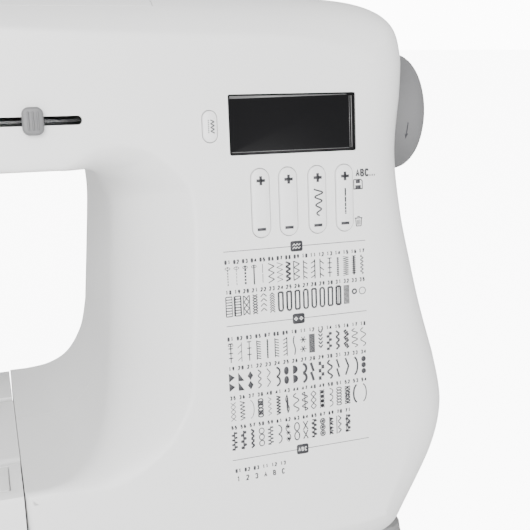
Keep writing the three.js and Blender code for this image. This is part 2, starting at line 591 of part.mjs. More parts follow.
function addPanel(group) {
  const panel = new THREE.Group();
  panel.applyMatrix4(PANEL_FRAME);
  group.add(panel);
  const lens = roundedRect(WINDOW_WIDTH, WINDOW_HEIGHT, 2.2, ...WINDOW_CENTRE);
  const flange = roundedRect(WINDOW_WIDTH, WINDOW_HEIGHT + 6, 2.2, ...WINDOW_CENTRE);
  const glass = combine(raised(lens, -WALL - 2 * GAP, 0.2, 4),
    [raised(flange, -WALL - 2, -WALL - 2 * GAP, 4)]);
  piece(panel, 'display_lens', glass, COLOURS.lens, 0.1);
  const board = block(-46, 40, -60, 84, -16, -14);
  const module = block(-30, 34, 46, 76, -14.1, -WALL - 3);
  piece(panel, 'control_board', combine(board, [module]), COLOURS.board, 0.6);
  piece(panel, 'stitch_mode_button', key(pill(MODE_WIDTH, MODE_HEIGHT, MODE_CENTRE),
    pill(MODE_WIDTH + 2, MODE_HEIGHT + 2, MODE_CENTRE)), COLOURS.key, 0.4);
  ROCKER_CENTRES.forEach((x, k) => {
    piece(panel, `rocker_${k + 1}`, key(pill(ROCKER_WIDTH, ROCKER_HEIGHT, [x, ROCKER_ROW]),
      pill(ROCKER_WIDTH + 2, ROCKER_HEIGHT + 2, [x, ROCKER_ROW])), COLOURS.key, 0.4);
  });
  for (const [name, x, z, width, height] of BUTTONS) {
    const spot = faceSpot(x, z);
    piece(panel, name, key(roundedRect(width, height, 3.6, ...spot),
      roundedRect(width + 2, height + 2, 4.6, ...spot), PANEL_PROUD, 3), COLOURS.key, 0.4);
  }
  const [sliderX, sliderY] = faceSpot(SLIDER.x, SLIDER.z);
  const knob = raised(roundedRect(9, 12, 3, sliderX, sliderY), 0.4, 5);
  const neck = raised(roundedRect(5, 3, 1, sliderX, sliderY), -8, 0.5);
  piece(panel, 'speed_slider', combine(knob, [neck]), COLOURS.grey, 0.4);
}

// ---------------------------------------------------------------- frame and drive
function addFrame(group) {
  const plate = (x0, x1, z0, z1) => block(x0, x1, PLATE_Y, PLATE_Y + 6, z0, z1);
  const bearingRight = WAIST_X - 56;
  const bearings = [NEEDLE_X + 32, bearingRight];
  const lowTop = BED_Z - 20;
  const pieces = [
    plate(NEEDLE_X - 14, NEEDLE_X + 12, HEAD_Z + 10, CROWN_Z - 19),
    plate(THROAT_X + 6, THROAT_X + 20, LOWER_Z - 14, CROWN_Z - 19),
    plate(NEEDLE_X - 18, bearingRight + 10, LOWER_Z - 14, lowTop),
    block(NEEDLE_X - 8, NEEDLE_X + 8, NEEDLE_Y - 7, PLATE_Y + 1, HEAD_Z + 12, HEAD_Z + 24),
    block(NEEDLE_X - 8, NEEDLE_X + 8, NEEDLE_Y - 7, PLATE_Y + 1, CROWN_Z - 41, CROWN_Z - 33),
  ];
  for (const x of bearings) {
    for (const z of [SHAFT_Z, LOWER_Z]) {
      pieces.push(block(x, x + 10, SHAFT_Y - 9, PLATE_Y + 1, z - 10, z + 10));
    }
  }
  const bores = [
    bar('x', SHAFT_RADIUS + RUNNING_GAP, NEEDLE_X, RIGHT, SHAFT_Y, SHAFT_Z),
    bar('x', SHAFT_RADIUS + RUNNING_GAP, NEEDLE_X, RIGHT, SHAFT_Y, LOWER_Z),
    bar('z', 3.2 + RUNNING_GAP, HEAD_Z, CROWN_Z, NEEDLE_X, NEEDLE_Y),
    bar('z', 3 + RUNNING_GAP, HEAD_Z, CROWN_Z, NEEDLE_X, PRESSER_Y),
  ];
  const arm = plate(NEEDLE_X - 14, bearingRight + 10, ARM_Z + 6, CROWN_Z - 19);
  piece(group, 'arm_frame', combine(arm, pieces, bores), COLOURS.alloy, 0.5, 0.8);
}

// The closed band around two pulleys whose axes lie along X.
function beltAround([y1, z1, r1], [y2, z2, r2], thickness) {
  const lead = Math.atan2(z2 - z1, y2 - y1);
  const open = Math.acos((r1 - r2) / Math.hypot(y2 - y1, z2 - z1));
  const slack = GAP + 0.15;
  const loop = (extra) => {
    const path = new THREE.Shape();
    path.absarc(y1, z1, r1 + extra, lead + open, lead - open + 2 * Math.PI);
    path.absarc(y2, z2, r2 + extra, lead - open, lead + open);
    return path;
  };
  const band = loop(slack + thickness);
  band.holes.push(loop(slack));
  return band;
}

function beltPiece(band, x0, x1) {
  const settings = { depth: x1 - x0, bevelEnabled: false, curveSegments: 9 };
  const solid = new THREE.ExtrudeGeometry(band, settings);
  solid.applyMatrix4(new THREE.Matrix4().makeBasis(
    new THREE.Vector3(0, 1, 0), new THREE.Vector3(0, 0, 1), new THREE.Vector3(1, 0, 0)));
  return solid.translate(x0, 0, 0);
}

const MOTOR = { y: SHAFT_Y + 41, z: BED_Z + 20 };
const DRIVE_X = WAIST_X - 20;    // plane of the motor belt
const TIMING_X = WAIST_X - 38;   // plane of the belt to the lower shaft
const BELT_WIDTH = 7;

function pulley(radius, x, y, z, bore) {
  const rim = radius + 3.2;
  const half = BELT_WIDTH / 2 + 0.5;
  return turned('x', [
    [bore, x - half - 1.2], [rim, x - half - 1.2], [rim, x - half], [radius, x - half],
    [radius, x + half], [rim, x + half], [rim, x + half + 1.2], [bore, x + half + 1.2]], y, z, 20);
}

function addDrive(group) {
  const wheelBack = RIGHT - WHEEL_DEPTH;
  const hub = 11;
  const bore = SHAFT_RADIUS + RUNNING_GAP;
  const wheel = turned('x', [
    [0, RIGHT - 10], [bore, RIGHT - 10], [bore, wheelBack - 12], [hub, wheelBack - 12],
    [hub, wheelBack + 1], [WHEEL_RADIUS - 3, wheelBack + 1], [WHEEL_RADIUS, wheelBack + 4],
    [WHEEL_RADIUS, RIGHT - 4], [WHEEL_RADIUS - 1, RIGHT - 1.2], [WHEEL_RADIUS - 3.5, RIGHT],
    [14, RIGHT - 1], [0, RIGHT - 1]], SHAFT_Y, SHAFT_Z, 40);
  piece(group, 'handwheel', wheel, COLOURS.grey, 0.45);
  const shaft = bar('x', SHAFT_RADIUS, NEEDLE_X + 15, RIGHT - 10 - GAP, SHAFT_Y, SHAFT_Z);
  const timing = pulley(TIMING_RADIUS, TIMING_X, SHAFT_Y, SHAFT_Z, SHAFT_RADIUS - 1);
  piece(group, 'main_shaft', combine(shaft, [timing]), COLOURS.steel, 0.3, 0.9);
  piece(group, 'shaft_pulley', pulley(PULLEY_RADIUS, DRIVE_X, SHAFT_Y, SHAFT_Z, bore), COLOURS.dark);
  const crank = turned('x', [[bore, NEEDLE_X + 14], [13, NEEDLE_X + 14], [13, NEEDLE_X + 20],
    [bore, NEEDLE_X + 20]], SHAFT_Y, SHAFT_Z);
  const pin = bar('x', 2.5, NEEDLE_X + 11, NEEDLE_X + 15, SHAFT_Y + 9, SHAFT_Z, 16);
  piece(group, 'crank_disc', combine(crank, [pin]), COLOURS.steel, 0.35, 0.9);

  const motorRight = DRIVE_X - 9;
  const can = bar('x', MOTOR_RADIUS, motorRight - MOTOR_LENGTH, motorRight, MOTOR.y, MOTOR.z, 24);
  piece(group, 'drive_motor', can, COLOURS.dark, 0.5, 0.3);
  const stub = bar('x', 3, motorRight + GAP, DRIVE_X + 6, MOTOR.y, MOTOR.z, 16);
  const rim = pulley(MOTOR_PULLEY_RADIUS, DRIVE_X, MOTOR.y, MOTOR.z, 2);
  piece(group, 'motor_pulley', combine(stub, [rim]), COLOURS.steel, 0.4, 0.8);
  piece(group, 'drive_belt', beltPiece(beltAround([SHAFT_Y, SHAFT_Z, PULLEY_RADIUS],
    [MOTOR.y, MOTOR.z, MOTOR_PULLEY_RADIUS], BELT_THICKNESS), DRIVE_X - BELT_WIDTH / 2,
  DRIVE_X + BELT_WIDTH / 2), COLOURS.rubber, 0.9);
  piece(group, 'timing_belt', beltPiece(beltAround([SHAFT_Y, SHAFT_Z, TIMING_RADIUS],
    [SHAFT_Y, LOWER_Z, TIMING_RADIUS], BELT_THICKNESS), TIMING_X - BELT_WIDTH / 2,
  TIMING_X + BELT_WIDTH / 2), COLOURS.rubber, 0.9);
  const lower = bar('x', SHAFT_RADIUS, NEEDLE_X - 10, TIMING_X + 8, SHAFT_Y, LOWER_Z);
  const driven = pulley(TIMING_RADIUS, TIMING_X, SHAFT_Y, LOWER_Z, SHAFT_RADIUS - 1);
  const gear = bar('x', LOWER_GEAR_RADIUS, NEEDLE_X - 3, NEEDLE_X + 3, SHAFT_Y, LOWER_Z, 24);
  piece(group, 'lower_shaft', combine(lower, [driven, gear]), COLOURS.steel, 0.3, 0.9);
}

// ---------------------------------------------------------------- hook, bobbin and feed
const FEED = { spread: 6.4, width: 3.2, length: 20, travel: 2.5 };

function addHook(group) {
  const top = BED_Z - 8.5;
  const floor = top - 14;
  const cup = turned('z', [
    [0, LOWER_Z - 12], [3, LOWER_Z - 12], [3, LOWER_Z - 3], [HOOK_GEAR_RADIUS, LOWER_Z - 3],
    [HOOK_GEAR_RADIUS, LOWER_Z + 3], [3, LOWER_Z + 3], [3, floor - 1.5], [HOOK_RADIUS, floor - 1.5],
    [HOOK_RADIUS, top], [HOOK_RADIUS - HOOK_WALL, top], [HOOK_RADIUS - HOOK_WALL, floor],
    [0, floor]],
  NEEDLE_X, HOOK_Y);
  piece(group, 'rotary_hook', cup, COLOURS.steel, 0.25, 0.9);
  const cupWall = HOOK_RADIUS - HOOK_WALL - RUNNING_GAP;
  const caseTop = top + 1;
  const holder = turned('z', [
    [0, floor + 0.4], [cupWall, floor + 0.4], [cupWall, caseTop],
    [BOBBIN_RADIUS + BOBBIN_GAP, caseTop], [BOBBIN_RADIUS + BOBBIN_GAP, floor + 1.4],
    [0, floor + 1.4]],
  NEEDLE_X, HOOK_Y);
  piece(group, 'bobbin_holder', holder, COLOURS.rubber, 0.5);
  const base = floor + 1.8;
  const spool = turned('z', [
    [3, base], [BOBBIN_RADIUS, base], [BOBBIN_RADIUS, base + 1], [4.5, base + 1],
    [4.5, base + 10.4], [BOBBIN_RADIUS, base + 10.4], [BOBBIN_RADIUS, base + 11.4], [3, base + 11.4]],
  NEEDLE_X, HOOK_Y, 24);
  piece(group, 'bobbin', spool, COLOURS.clear, 0.2);
}

function addFeed(group) {
  const top = BED_Z - 0.2;
  const low = BED_Z - 6.5;
  const teeth = [-1, 1].map((side) => {
    const middle = NEEDLE_X + side * FEED.spread;
    return block(middle - FEED.width / 2, middle + FEED.width / 2, NEEDLE_Y - 2,
      NEEDLE_Y - 2 + FEED.length, low + 0.5, top);
  });
  const yoke = block(NEEDLE_X - FEED.spread - 2, NEEDLE_X + FEED.spread + 2,
    NEEDLE_Y + FEED.length - 7, NEEDLE_Y + FEED.length - 2, low - 2, low + 2.5);
  const stem = block(NEEDLE_X - 3, NEEDLE_X + 3, NEEDLE_Y + FEED.length - 6,
    NEEDLE_Y + FEED.length - 3, low - 6, low + 1);
  piece(group, 'feed_dog', combine(yoke, [...teeth, stem]), COLOURS.steel, 0.35, 0.9);
}

// ---------------------------------------------------------------- needle and presser foot
function addNeedleBar(group) {
  const tip = BED_Z + 7;
  const clampLow = tip + 34;
  piece(group, 'needle_bar', bar('z', 3.2, clampLow + 11, CROWN_Z - 24, NEEDLE_X, NEEDLE_Y),
    COLOURS.steel, 0.2, 0.9);
  const clamp = bar('z', 4.6, clampLow, clampLow + 10.7, NEEDLE_X, NEEDLE_Y);
  const screw = bar('x', 2.2, NEEDLE_X, NEEDLE_X + 13, NEEDLE_Y, clampLow + 5, 16);
  const bore = bar('z', 1.3, clampLow - 5, clampLow + 7, NEEDLE_X, NEEDLE_Y, 16);
  piece(group, 'needle_clamp', combine(clamp, [screw], [bore]), COLOURS.steel, 0.3, 0.9);
  const needle = turned('z', [[0, tip], [0.5, tip + 6], [0.5, clampLow - 4], [0.9, clampLow - 2],
    [0.9, clampLow + 6.5], [0, clampLow + 6.5]], NEEDLE_X, NEEDLE_Y, 12);
  piece(group, 'needle', needle, COLOURS.steel, 0.2, 0.9);
}

function addPresser(group) {
  const sole = BED_Z + FOOT_LIFT;
  const pivotZ = sole + 6;
  const pivotY = PRESSER_Y - 2;
  const rod = bar('z', 3, sole + 14, CROWN_Z - 26, NEEDLE_X, PRESSER_Y);
  const ankle = [
    block(NEEDLE_X - 6, NEEDLE_X + 6, PRESSER_Y - 4.5, PRESSER_Y + 4, sole + 10, sole + 20),
    block(NEEDLE_X - 6, NEEDLE_X - 4, PRESSER_Y - 4.5, PRESSER_Y + 1, sole + 4, sole + 11),
    block(NEEDLE_X + 4, NEEDLE_X + 6, PRESSER_Y - 4.5, PRESSER_Y + 1, sole + 4, sole + 11),
    bar('x', 1.1, NEEDLE_X - 5, NEEDLE_X + 5, pivotY, pivotZ, 12),
  ];
  piece(group, 'presser_bar', combine(rod, ankle), COLOURS.steel, 0.25, 0.9);
  const plate = raised(roundedRect(13, 32, 3, NEEDLE_X, NEEDLE_Y + 0.5), sole, sole + 1.8, 3);
  const lug = block(NEEDLE_X - 3.4, NEEDLE_X + 3.4, pivotY - 2, pivotY + 2, sole + 1, pivotZ + 2.2);
  const cuts = [
    block(NEEDLE_X - 3, NEEDLE_X + 3, NEEDLE_Y - 2, NEEDLE_Y + 2, sole - 5, sole + 5),
    bar('x', 1.1 + RUNNING_GAP, NEEDLE_X - 9, NEEDLE_X + 9, pivotY, pivotZ, 12),
  ];
  piece(group, 'presser_foot', combine(plate, [lug], cuts), COLOURS.steel, 0.2, 0.9);

  const liftY = PRESSER_Y + 22;
  const liftX = NEEDLE_X + 16;
  const liftZ = HEAD_Z - 7;
  const lever = block(liftX, liftX + 44, liftY, liftY + 4, liftZ - 3, liftZ + 3);
  const boss = bar('y', 5, liftY, liftY + 4, liftX, liftZ, 20);
  const pad = block(liftX + 32, liftX + 46, liftY - 4, liftY + 8, liftZ - 2.4, liftZ + 2.4);
  piece(group, 'presser_lifter', combine(lever, [boss, pad]), COLOURS.key, 0.4);
}

function addTakeUp(group) {
  const { x, thickness, pivotY, pivotZ } = TAKE_UP;
  const tipZ = pivotZ + 18;
  const tipY = frontY(tipZ) - 4;
  const shape = [[pivotY + 4, pivotZ - 4], [pivotY + 4, pivotZ + 4], [tipY + 2, tipZ + 4],
    [tipY - 3, tipZ + 3], [tipY - 3, tipZ - 3], [pivotY - 2, pivotZ - 5]];
  const arm = carried(shape, x - thickness / 2, x + thickness / 2);
  const eye = bar('x', 1.3, x - 5, x + 5, tipY, tipZ, 12);
  piece(group, 'take_up_lever', combine(arm, [], [eye]), COLOURS.steel, 0.25, 0.9);
  const dial = bar('x', DIAL.radius, DIAL.x - DIAL.thickness / 2, DIAL.x + DIAL.thickness / 2,
    DIAL.y, DIAL.z, 32);
  piece(group, 'tension_dial', dial, COLOURS.grey, 0.45);
}

function addHeadLevers(group) {
  for (const [name, { x, y, radius }] of Object.entries(HEAD_BARS)) {
    const rod = bar('z', radius, HEAD_Z - 14, HEAD_Z + 46, x, y, 16);
    const knob = block(x - 5, x + 4, y - 6, y + 6, HEAD_Z - 18, HEAD_Z - 13);
    piece(group, `${name}_lever`, combine(rod, [knob]), COLOURS.key, 0.4);
  }
  const lampX = HEAD_RIGHT - 26;
  const lampY = NEEDLE_Y - 18;
  piece(group, 'lamp_lens', block(lampX - 9, lampX + 9, lampY - 6, lampY + 6, HEAD_Z - 3, HEAD_Z - GAP),
    COLOURS.clear, 0.2);
}

// ---------------------------------------------------------------- top and right side fittings
function addTopFittings(group) {
  const seat = CROWN_Z + 0.5;
  const plate = turned('z', [[WINDER.radius + 0.4, seat], [WINDER.base, seat], [WINDER.base - 1, seat + 2],
    [WINDER.radius + 0.4, seat + 2.4]], WINDER.x, WINDER.y, 32);
  piece(group, 'winder_plate', plate, COLOURS.key, 0.4);
  const spindle = turned('z', [
    [0, CROWN_Z - 20], [WINDER.radius, CROWN_Z - 20], [WINDER.radius, seat + 3], [6, seat + 3],
    [6, seat + 4.4], [2.9, seat + 4.4], [2.7, seat + 13], [1.8, seat + 14], [0, seat + 14]],
  WINDER.x, WINDER.y, 24);
  piece(group, 'winder_spindle', spindle, COLOURS.shell, 0.3);
  piece(group, 'winder_stopper', bar('z', STOPPER.radius, seat, seat + 7, STOPPER.x, STOPPER.y, 24),
    COLOURS.key, 0.4);
  const pinZ = CROWN_Z - 22;
  const pinY = (LID.y0 + LID.y1) / 2;
  const pin = bar('x', 3, LID.x1 - 66, LID.x1 - 4, pinY, pinZ, 20);
  const foot = bar('x', 10, LID.x1 - 6, LID.x1 - 3, pinY, pinZ, 24);
  piece(group, 'spool_pin', combine(pin, [foot]), COLOURS.key, 0.4);
  const cap = turned('x', [[3.4, LID.x1 - 62], [12, LID.x1 - 60], [12, LID.x1 - 58],
    [3.4, LID.x1 - 56]], pinY, pinZ, 24);
  piece(group, 'spool_cap', cap, COLOURS.key, 0.4);
}

// Side fittings are cut from blocks so that their outer faces lie flush with the rear cover.
function flushInsert({ y0, y1, z0, z1 }, depth) {
  const insert = block(WAIST_X - depth, RIGHT + BULGE_OUT, y0, y1, z0, z1);
  return toSolid(insert).intersect(toSolid(halfBody(1, 0)));
}

function addSideFittings(group) {
  const { y0, y1, z0, z1 } = SOCKET;
  const middle = (z0 + z1) / 2;
  const pocket = WAIST_X - 4;
  const outside = RIGHT + BULGE_OUT;
  const mains = block(pocket, outside, y0 + 3, y0 + 17, middle - 8, middle + 8);
  const jack = bar('x', 3.5, pocket, outside, y1 - 8, middle, 16);
  let sockets = cutAll(flushInsert(SOCKET, 12), [toSolid(mains), toSolid(jack)]);
  for (const side of [-3, 3]) {
    sockets = sockets.add(toSolid(bar('x', 1.3, pocket - 1, pocket + 7, y0 + 10 + side, middle, 10)));
  }
  piece(group, 'socket_panel', toGeometry(sockets), COLOURS.dark, 0.5);
  piece(group, 'power_switch', toGeometry(flushInsert(SWITCH, 2)), COLOURS.rubber, 0.4);
  const slot = FEED_LEVER;
  const knob = block(slot.x - 4, slot.x + 4, REAR_Y + GAP - 4, REAR_Y, slot.z - 2, slot.z + 2);
  piece(group, 'feed_drop_lever', knob, COLOURS.key, 0.4);
}

// ---------------------------------------------------------------- the machine
const machine = new THREE.Group();
addCovers(machine);
addBase(machine);
addFreeArm(machine);
addNeedlePlate(machine);
addAccessoryTray(machine);
addHandle(machine);
addPanel(machine);
addFrame(machine);
addDrive(machine);
addHook(machine);
addFeed(machine);
addNeedleBar(machine);
addPresser(machine);
addTakeUp(machine);
addHeadLevers(machine);
addTopFittings(machine);
addSideFittings(machine);

export default machine;
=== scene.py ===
"""Looks of a computerised free-arm sewing machine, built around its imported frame."""
import math

import bmesh
import bpy
import numpy as np
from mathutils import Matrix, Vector, geometry


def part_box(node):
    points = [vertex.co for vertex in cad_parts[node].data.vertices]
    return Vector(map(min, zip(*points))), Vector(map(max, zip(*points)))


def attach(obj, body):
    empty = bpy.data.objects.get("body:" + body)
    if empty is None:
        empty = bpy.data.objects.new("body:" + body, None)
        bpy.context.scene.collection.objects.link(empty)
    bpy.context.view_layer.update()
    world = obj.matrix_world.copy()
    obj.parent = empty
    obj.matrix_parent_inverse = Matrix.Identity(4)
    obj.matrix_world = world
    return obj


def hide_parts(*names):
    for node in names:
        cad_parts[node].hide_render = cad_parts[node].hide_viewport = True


bl_info = {
    "name": "Free-arm sewing machine",
    "version": (1, 0, 0),
    "blender": (4, 5, 0),
    "location": "View3D > Sidebar > Sewing machine",
    "description": "Shells, keys, printed chart and fittings of a sewing machine",
    "category": "Object",
}

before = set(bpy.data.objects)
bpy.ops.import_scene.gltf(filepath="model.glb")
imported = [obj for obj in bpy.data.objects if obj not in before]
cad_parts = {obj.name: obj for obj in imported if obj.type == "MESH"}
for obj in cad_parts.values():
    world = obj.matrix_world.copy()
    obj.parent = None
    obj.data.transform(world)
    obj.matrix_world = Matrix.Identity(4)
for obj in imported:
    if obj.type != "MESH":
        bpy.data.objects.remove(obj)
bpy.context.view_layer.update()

MM = 0.001  # lengths below are in millimetres, and meshes are in metres


def corners(node):
    """Lowest and highest corner of a frame node, in millimetres."""
    low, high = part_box(node)
    return np.array(low) / MM, np.array(high) / MM


# ------------------------------------------------------------------ places read from the frame
FRONT_LOW, FRONT_HIGH = corners("front_cover")
_, REAR_HIGH = corners("rear_cover")
SHAFT_LOW, SHAFT_HIGH = corners("shaft_pulley")
WHEEL_LOW, WHEEL_HIGH = corners("handwheel")
ARM_LOW, ARM_HIGH = corners("free_arm_cover")
TRAY_LOW, TRAY_HIGH = corners("accessory_tray")
PLATE_LOW, PLATE_HIGH = corners("needle_plate")

LEAN = math.tan(math.radians(6.4))
LEFT = TRAY_LOW[0]
RIGHT = WHEEL_HIGH[0]
COVER_LEFT = FRONT_LOW[0]
CROWN_Z = FRONT_HIGH[2]
BASE_GAP = FRONT_LOW[2]
BED_Z = ARM_HIGH[2]
REAR_Y = REAR_HIGH[1]
SHAFT_Y, SHAFT_Z = (SHAFT_LOW[1:] + SHAFT_HIGH[1:]) / 2
PART_Y = SHAFT_Y
ARM_Z = CROWN_Z - 78
HEAD_Z = BED_Z + 69
WALL = 2.6
SEAM = 0.15
CREASE_Z = 34
BULGE_OUT = 25
WAIST_X = WHEEL_HIGH[0] - 26
THROAT_X = WAIST_X - 117
SCOOP = 32
LIP_X = ARM_HIGH[0] + 0.3
HEAD_RIGHT = COVER_LEFT + 108
PANEL = np.array([THROAT_X + 49, -REAR_Y + LEAN * (ARM_Z - 43 - CREASE_Z), ARM_Z - 43])
TILT = math.atan(LEAN)
ACROSS = np.array([1, 0, 0])
UP_FACE = np.array([0, math.sin(TILT), math.cos(TILT)])
OUT_OF_FACE = np.array([0, -math.cos(TILT), math.sin(TILT)])


def front_y(z):
    """Y of the leaning front face at height z."""
    return PANEL[1] + LEAN * (z - PANEL[2])


def face_spot(x, z):
    """Panel coordinates of a point of the front face given by its X and height."""
    return x - PANEL[0], (z - PANEL[2]) * math.hypot(1, LEAN)


# ------------------------------------------------------------------ settings a user would change
def length(name, description, default):
    """A setting in metres whose default is given in millimetres."""
    return bpy.props.FloatProperty(
        name=name, description=description, default=default * MM, unit="LENGTH", precision=5)


def tint(name, description, default):
    """A colour setting."""
    return bpy.props.FloatVectorProperty(
        name=name, description=description, default=default, size=3, subtype="COLOR", min=0, max=1)


class FinishSettings(bpy.types.PropertyGroup):
    shell: tint("Shell", "Colour of the white covers", (0.80, 0.80, 0.795))
    key: tint("Keys", "Colour of the keys and levers", (0.80, 0.80, 0.80))
    grey: tint("Grey", "Colour of the handwheel and dials", (0.145, 0.145, 0.148))
    base: tint("Base", "Colour of the base under the covers", (0.19, 0.19, 0.19))
    lens: tint("Lens", "Colour of the display window", (0.0025, 0.0025, 0.003))
    print_ink: tint("Ink", "Colour of the printed chart", (0.035, 0.035, 0.04))
    shell_roughness: bpy.props.FloatProperty(
        name="Shell roughness", description="Roughness of the covers", default=0.36, min=0, max=1)


class ShapeSettings(bpy.types.PropertyGroup):
    edge: length("Edge", "Rounding where the front face ends", 1.6)
    crease: length("Crease", "Rounding along the top crease", 1.6)
    key_proud: length("Key height", "How far the keys stand out of the face", 1.4)
    key_edge: length("Key edge", "Rounding of a key's edge", 0.8)
    ink_height: length("Ink height", "Thickness of the printed marks", 0.05)
    detail: bpy.props.IntProperty(
        name="Detail", description="Steps along the covers' outline", default=6, min=1, max=10)


def shape_setting(name):
    """A shape setting of the scene, in millimetres."""
    return getattr(bpy.context.scene.machine_shape, name) / MM


# ------------------------------------------------------------------ mesh helpers
def make_object(name, vertices, faces, material, smooth_angle=30.0):
    """Builds a mesh from millimetre vertices, smooth except where faces meet sharply."""
    mesh = bpy.data.meshes.new(name)
    mesh.from_pydata((np.asarray(vertices, float) * MM).tolist(), [], [list(f) for f in faces])
    mesh.validate()
    mesh.update()
    obj = bpy.data.objects.new(name, mesh)
    bpy.context.scene.collection.objects.link(obj)
    mesh.polygons.foreach_set("use_smooth", np.ones(len(mesh.polygons), bool))
    mesh.set_sharp_from_angle(angle=math.radians(smooth_angle))
    mesh.materials.append(material)
    return obj


def ring_faces(rings, around, closed=True, start=0):
    """Quads between successive rings of `around` points each, numbered ring by ring."""
    ring = np.arange(rings - 1)[:, None] * around + start
    step = np.arange(around if closed else around - 1)[None, :]
    nxt = (step + 1) % around
    quads = np.stack([ring + step, ring + nxt, ring + around + nxt, ring + around + step], -1)
    return quads.reshape(-1, 4).tolist()


def rounded_rect(width, height, radius, centre=(0, 0), grow=0.0, steps=10):
    """Anticlockwise outline of a rounded rectangle moved out by `grow`."""
    w, h, r = width / 2 + grow, height / 2 + grow, max(radius + grow, 0.02)
    r = min(r, w - 1e-4, h - 1e-4)
    turn = np.linspace(0, math.pi / 2, steps)
    arcs = []
    for k, (sx, sy) in enumerate([(1, -1), (1, 1), (-1, 1), (-1, -1)]):
        angle = turn + (k - 1) * math.pi / 2
        arcs.append(np.stack([sx * (w - r) + r * np.cos(angle), sy * (h - r) + r * np.sin(angle)], -1))
    return np.concatenate(arcs) + np.array(centre)


def plan_of(low, high, radius, steps=10):
    """Rounded outline of a box seen from above, as a function of how far it is moved out."""
    return lambda grow: rounded_rect(high[0] - low[0], high[1] - low[1], radius,
                                     ((low[0] + high[0]) / 2, (low[1] + high[1]) / 2), grow, steps)


def raised(outline_at, profile, place, cap_start=True, cap_end=True):
    """Surface whose ring k is outline_at(grow) lifted to height, for each (grow, height).

    `place` turns (x, y, height) rows into machine coordinates.
    """
    rings = [np.column_stack([outline_at(grow), np.full(len(outline_at(grow)), height)])
             for grow, height in profile]
    around = len(rings[0])
    vertices = place(np.concatenate(rings))
    faces = ring_faces(len(rings), around)
    if cap_start:
        faces.append(list(range(around))[::-1])
    if cap_end:
        faces.append([(len(rings) - 1) * around + k for k in range(around)])
    return vertices, faces


def on_panel(points):
    """Rows of (across, up the face, out of the face) from the panel's centre, in machine coordinates."""
    u, v, w = points.T
    return PANEL + u[:, None] * ACROSS + v[:, None] * UP_FACE + w[:, None] * OUT_OF_FACE


def flat(points):
    """Rows that are in machine coordinates already."""
    return points


def facing_left(points):
    """Outline in (-Y, Z) with its height towards -X."""
    a, b, h = points.T
    return np.stack([-h, -a, b], -1)


def soft_edge(bottom, top, radius, steps=5, inset=0.0):
    """Profile rows from a straight side up round a quarter-circle edge of the given radius."""
    angle = np.linspace(0, math.pi / 2, steps)
    rows = [(-inset, bottom)]
    rows += [(-inset - radius + radius * math.cos(a), top - radius + radius * math.sin(a)) for a in angle]
    return rows


def turned(profile, axis, centre, around=64):
    """Revolves (radius, station) rows about an axis through `centre`."""
    radius, station = np.array(profile, float).T
    angle = np.arange(around) * 2 * math.pi / around
    a = radius[:, None] * np.cos(angle)
    b = radius[:, None] * np.sin(angle)
    s = np.broadcast_to(station[:, None], a.shape)
    order = {"x": (s, a, b), "y": (b, s, a), "z": (a, b, s)}[axis]
    points = np.stack(order, -1).reshape(-1, 3) + np.array(centre)
    faces = ring_faces(len(profile), around)
    faces = [f[::-1] for f in faces]
    faces.append(list(range(around)))
    faces.append([(len(profile) - 1) * around + k for k in range(around)][::-1])
    return points, faces


def joined(parts):
    """One vertex list and face list from several."""
    vertices, faces, base = [], [], 0
    for points, polygons in parts:
        vertices.append(np.asarray(points, float))
        faces += [[k + base for k in polygon] for polygon in polygons]
        base += len(points)
    return np.concatenate(vertices), faces


def block(x0, x1, y0, y1, z0, z1):
    """A box between the given limits, for cutting tools and lugs."""
    x, y, z = np.meshgrid([x0, x1], [y0, y1], [z0, z1], indexing="ij")
    vertices = np.stack([x, y, z], -1).reshape(-1, 3)
    faces = [[0, 1, 3, 2], [4, 6, 7, 5], [0, 4, 5, 1], [2, 3, 7, 6], [0, 2, 6, 4], [1, 5, 7, 3]]
    return vertices, faces


def widened_block(low, high, gap, z0, z1):
    """A block as large as a box in plan and wider by the gap on every side."""
    return block(low[0] - gap, high[0] + gap, low[1] - gap, high[1] + gap, z0, z1)


def soften(obj, width, segments=3, angle=35.0):
    """Rounds an object's sharp edges with a bevel of the given width."""
    bevel = obj.modifiers.new("Soft edges", "BEVEL")
    bevel.width = width * MM
    bevel.segments = segments
    bevel.limit_method = "ANGLE"
    bevel.angle_limit = math.radians(angle)
    bevel.harden_normals = True


def carve(obj, parts, operation="DIFFERENCE"):
    """Cuts an object by closed shapes, or keeps what is inside them, and freezes the result."""
    tools = []
    for vertices, faces in parts:
        tool = make_object("tool", vertices, faces, obj.data.materials[0])
        cut = obj.modifiers.new("Cut", "BOOLEAN")
        cut.solver = "EXACT"
        cut.operation = operation
        cut.object = tool
        tools.append(tool)
    graph = bpy.context.evaluated_depsgraph_get()
    mesh = bpy.data.meshes.new_from_object(obj.evaluated_get(graph))
    obj.modifiers.clear()
    obj.data = mesh
    for tool in tools:
        bpy.data.objects.remove(tool)
    mesh.set_sharp_from_angle(angle=math.radians(30))
    return obj


def finish_piece(obj, body, slot, *replaced):
    """Hands a finished piece to the frame: its body and what it stands for; its material slot is not used.
    """
    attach(obj, body)
    if replaced:
        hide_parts(*replaced)
    return obj


def add_piece(name, shape, finish, body, slot, *replaced):
    """Makes an object of vertices and faces in one finish and hands it to the frame."""
    return finish_piece(make_object(name, *shape, material(finish)), body, slot, *replaced)


# ------------------------------------------------------------------ shader maths
class Value:
    """A shader socket on which + - * and / make Math nodes, also with a number on the left."""

    def __init__(self, net, socket):
        self.net = net
        self.socket = socket

    def _math(self, operation, first, second):
        return self.net.node("ShaderNodeMath", {"operation": operation}, {0: first, 1: second})

    def __add__(self, other):
        return self._math("ADD", self, other)

    __radd__ = __add__

    def __mul__(self, other):
        return self._math("MULTIPLY", self, other)

    __rmul__ = __mul__

    def __sub__(self, other):
        return self._math("SUBTRACT", self, other)

    def __rsub__(self, other):
        return self._math("SUBTRACT", other, self)


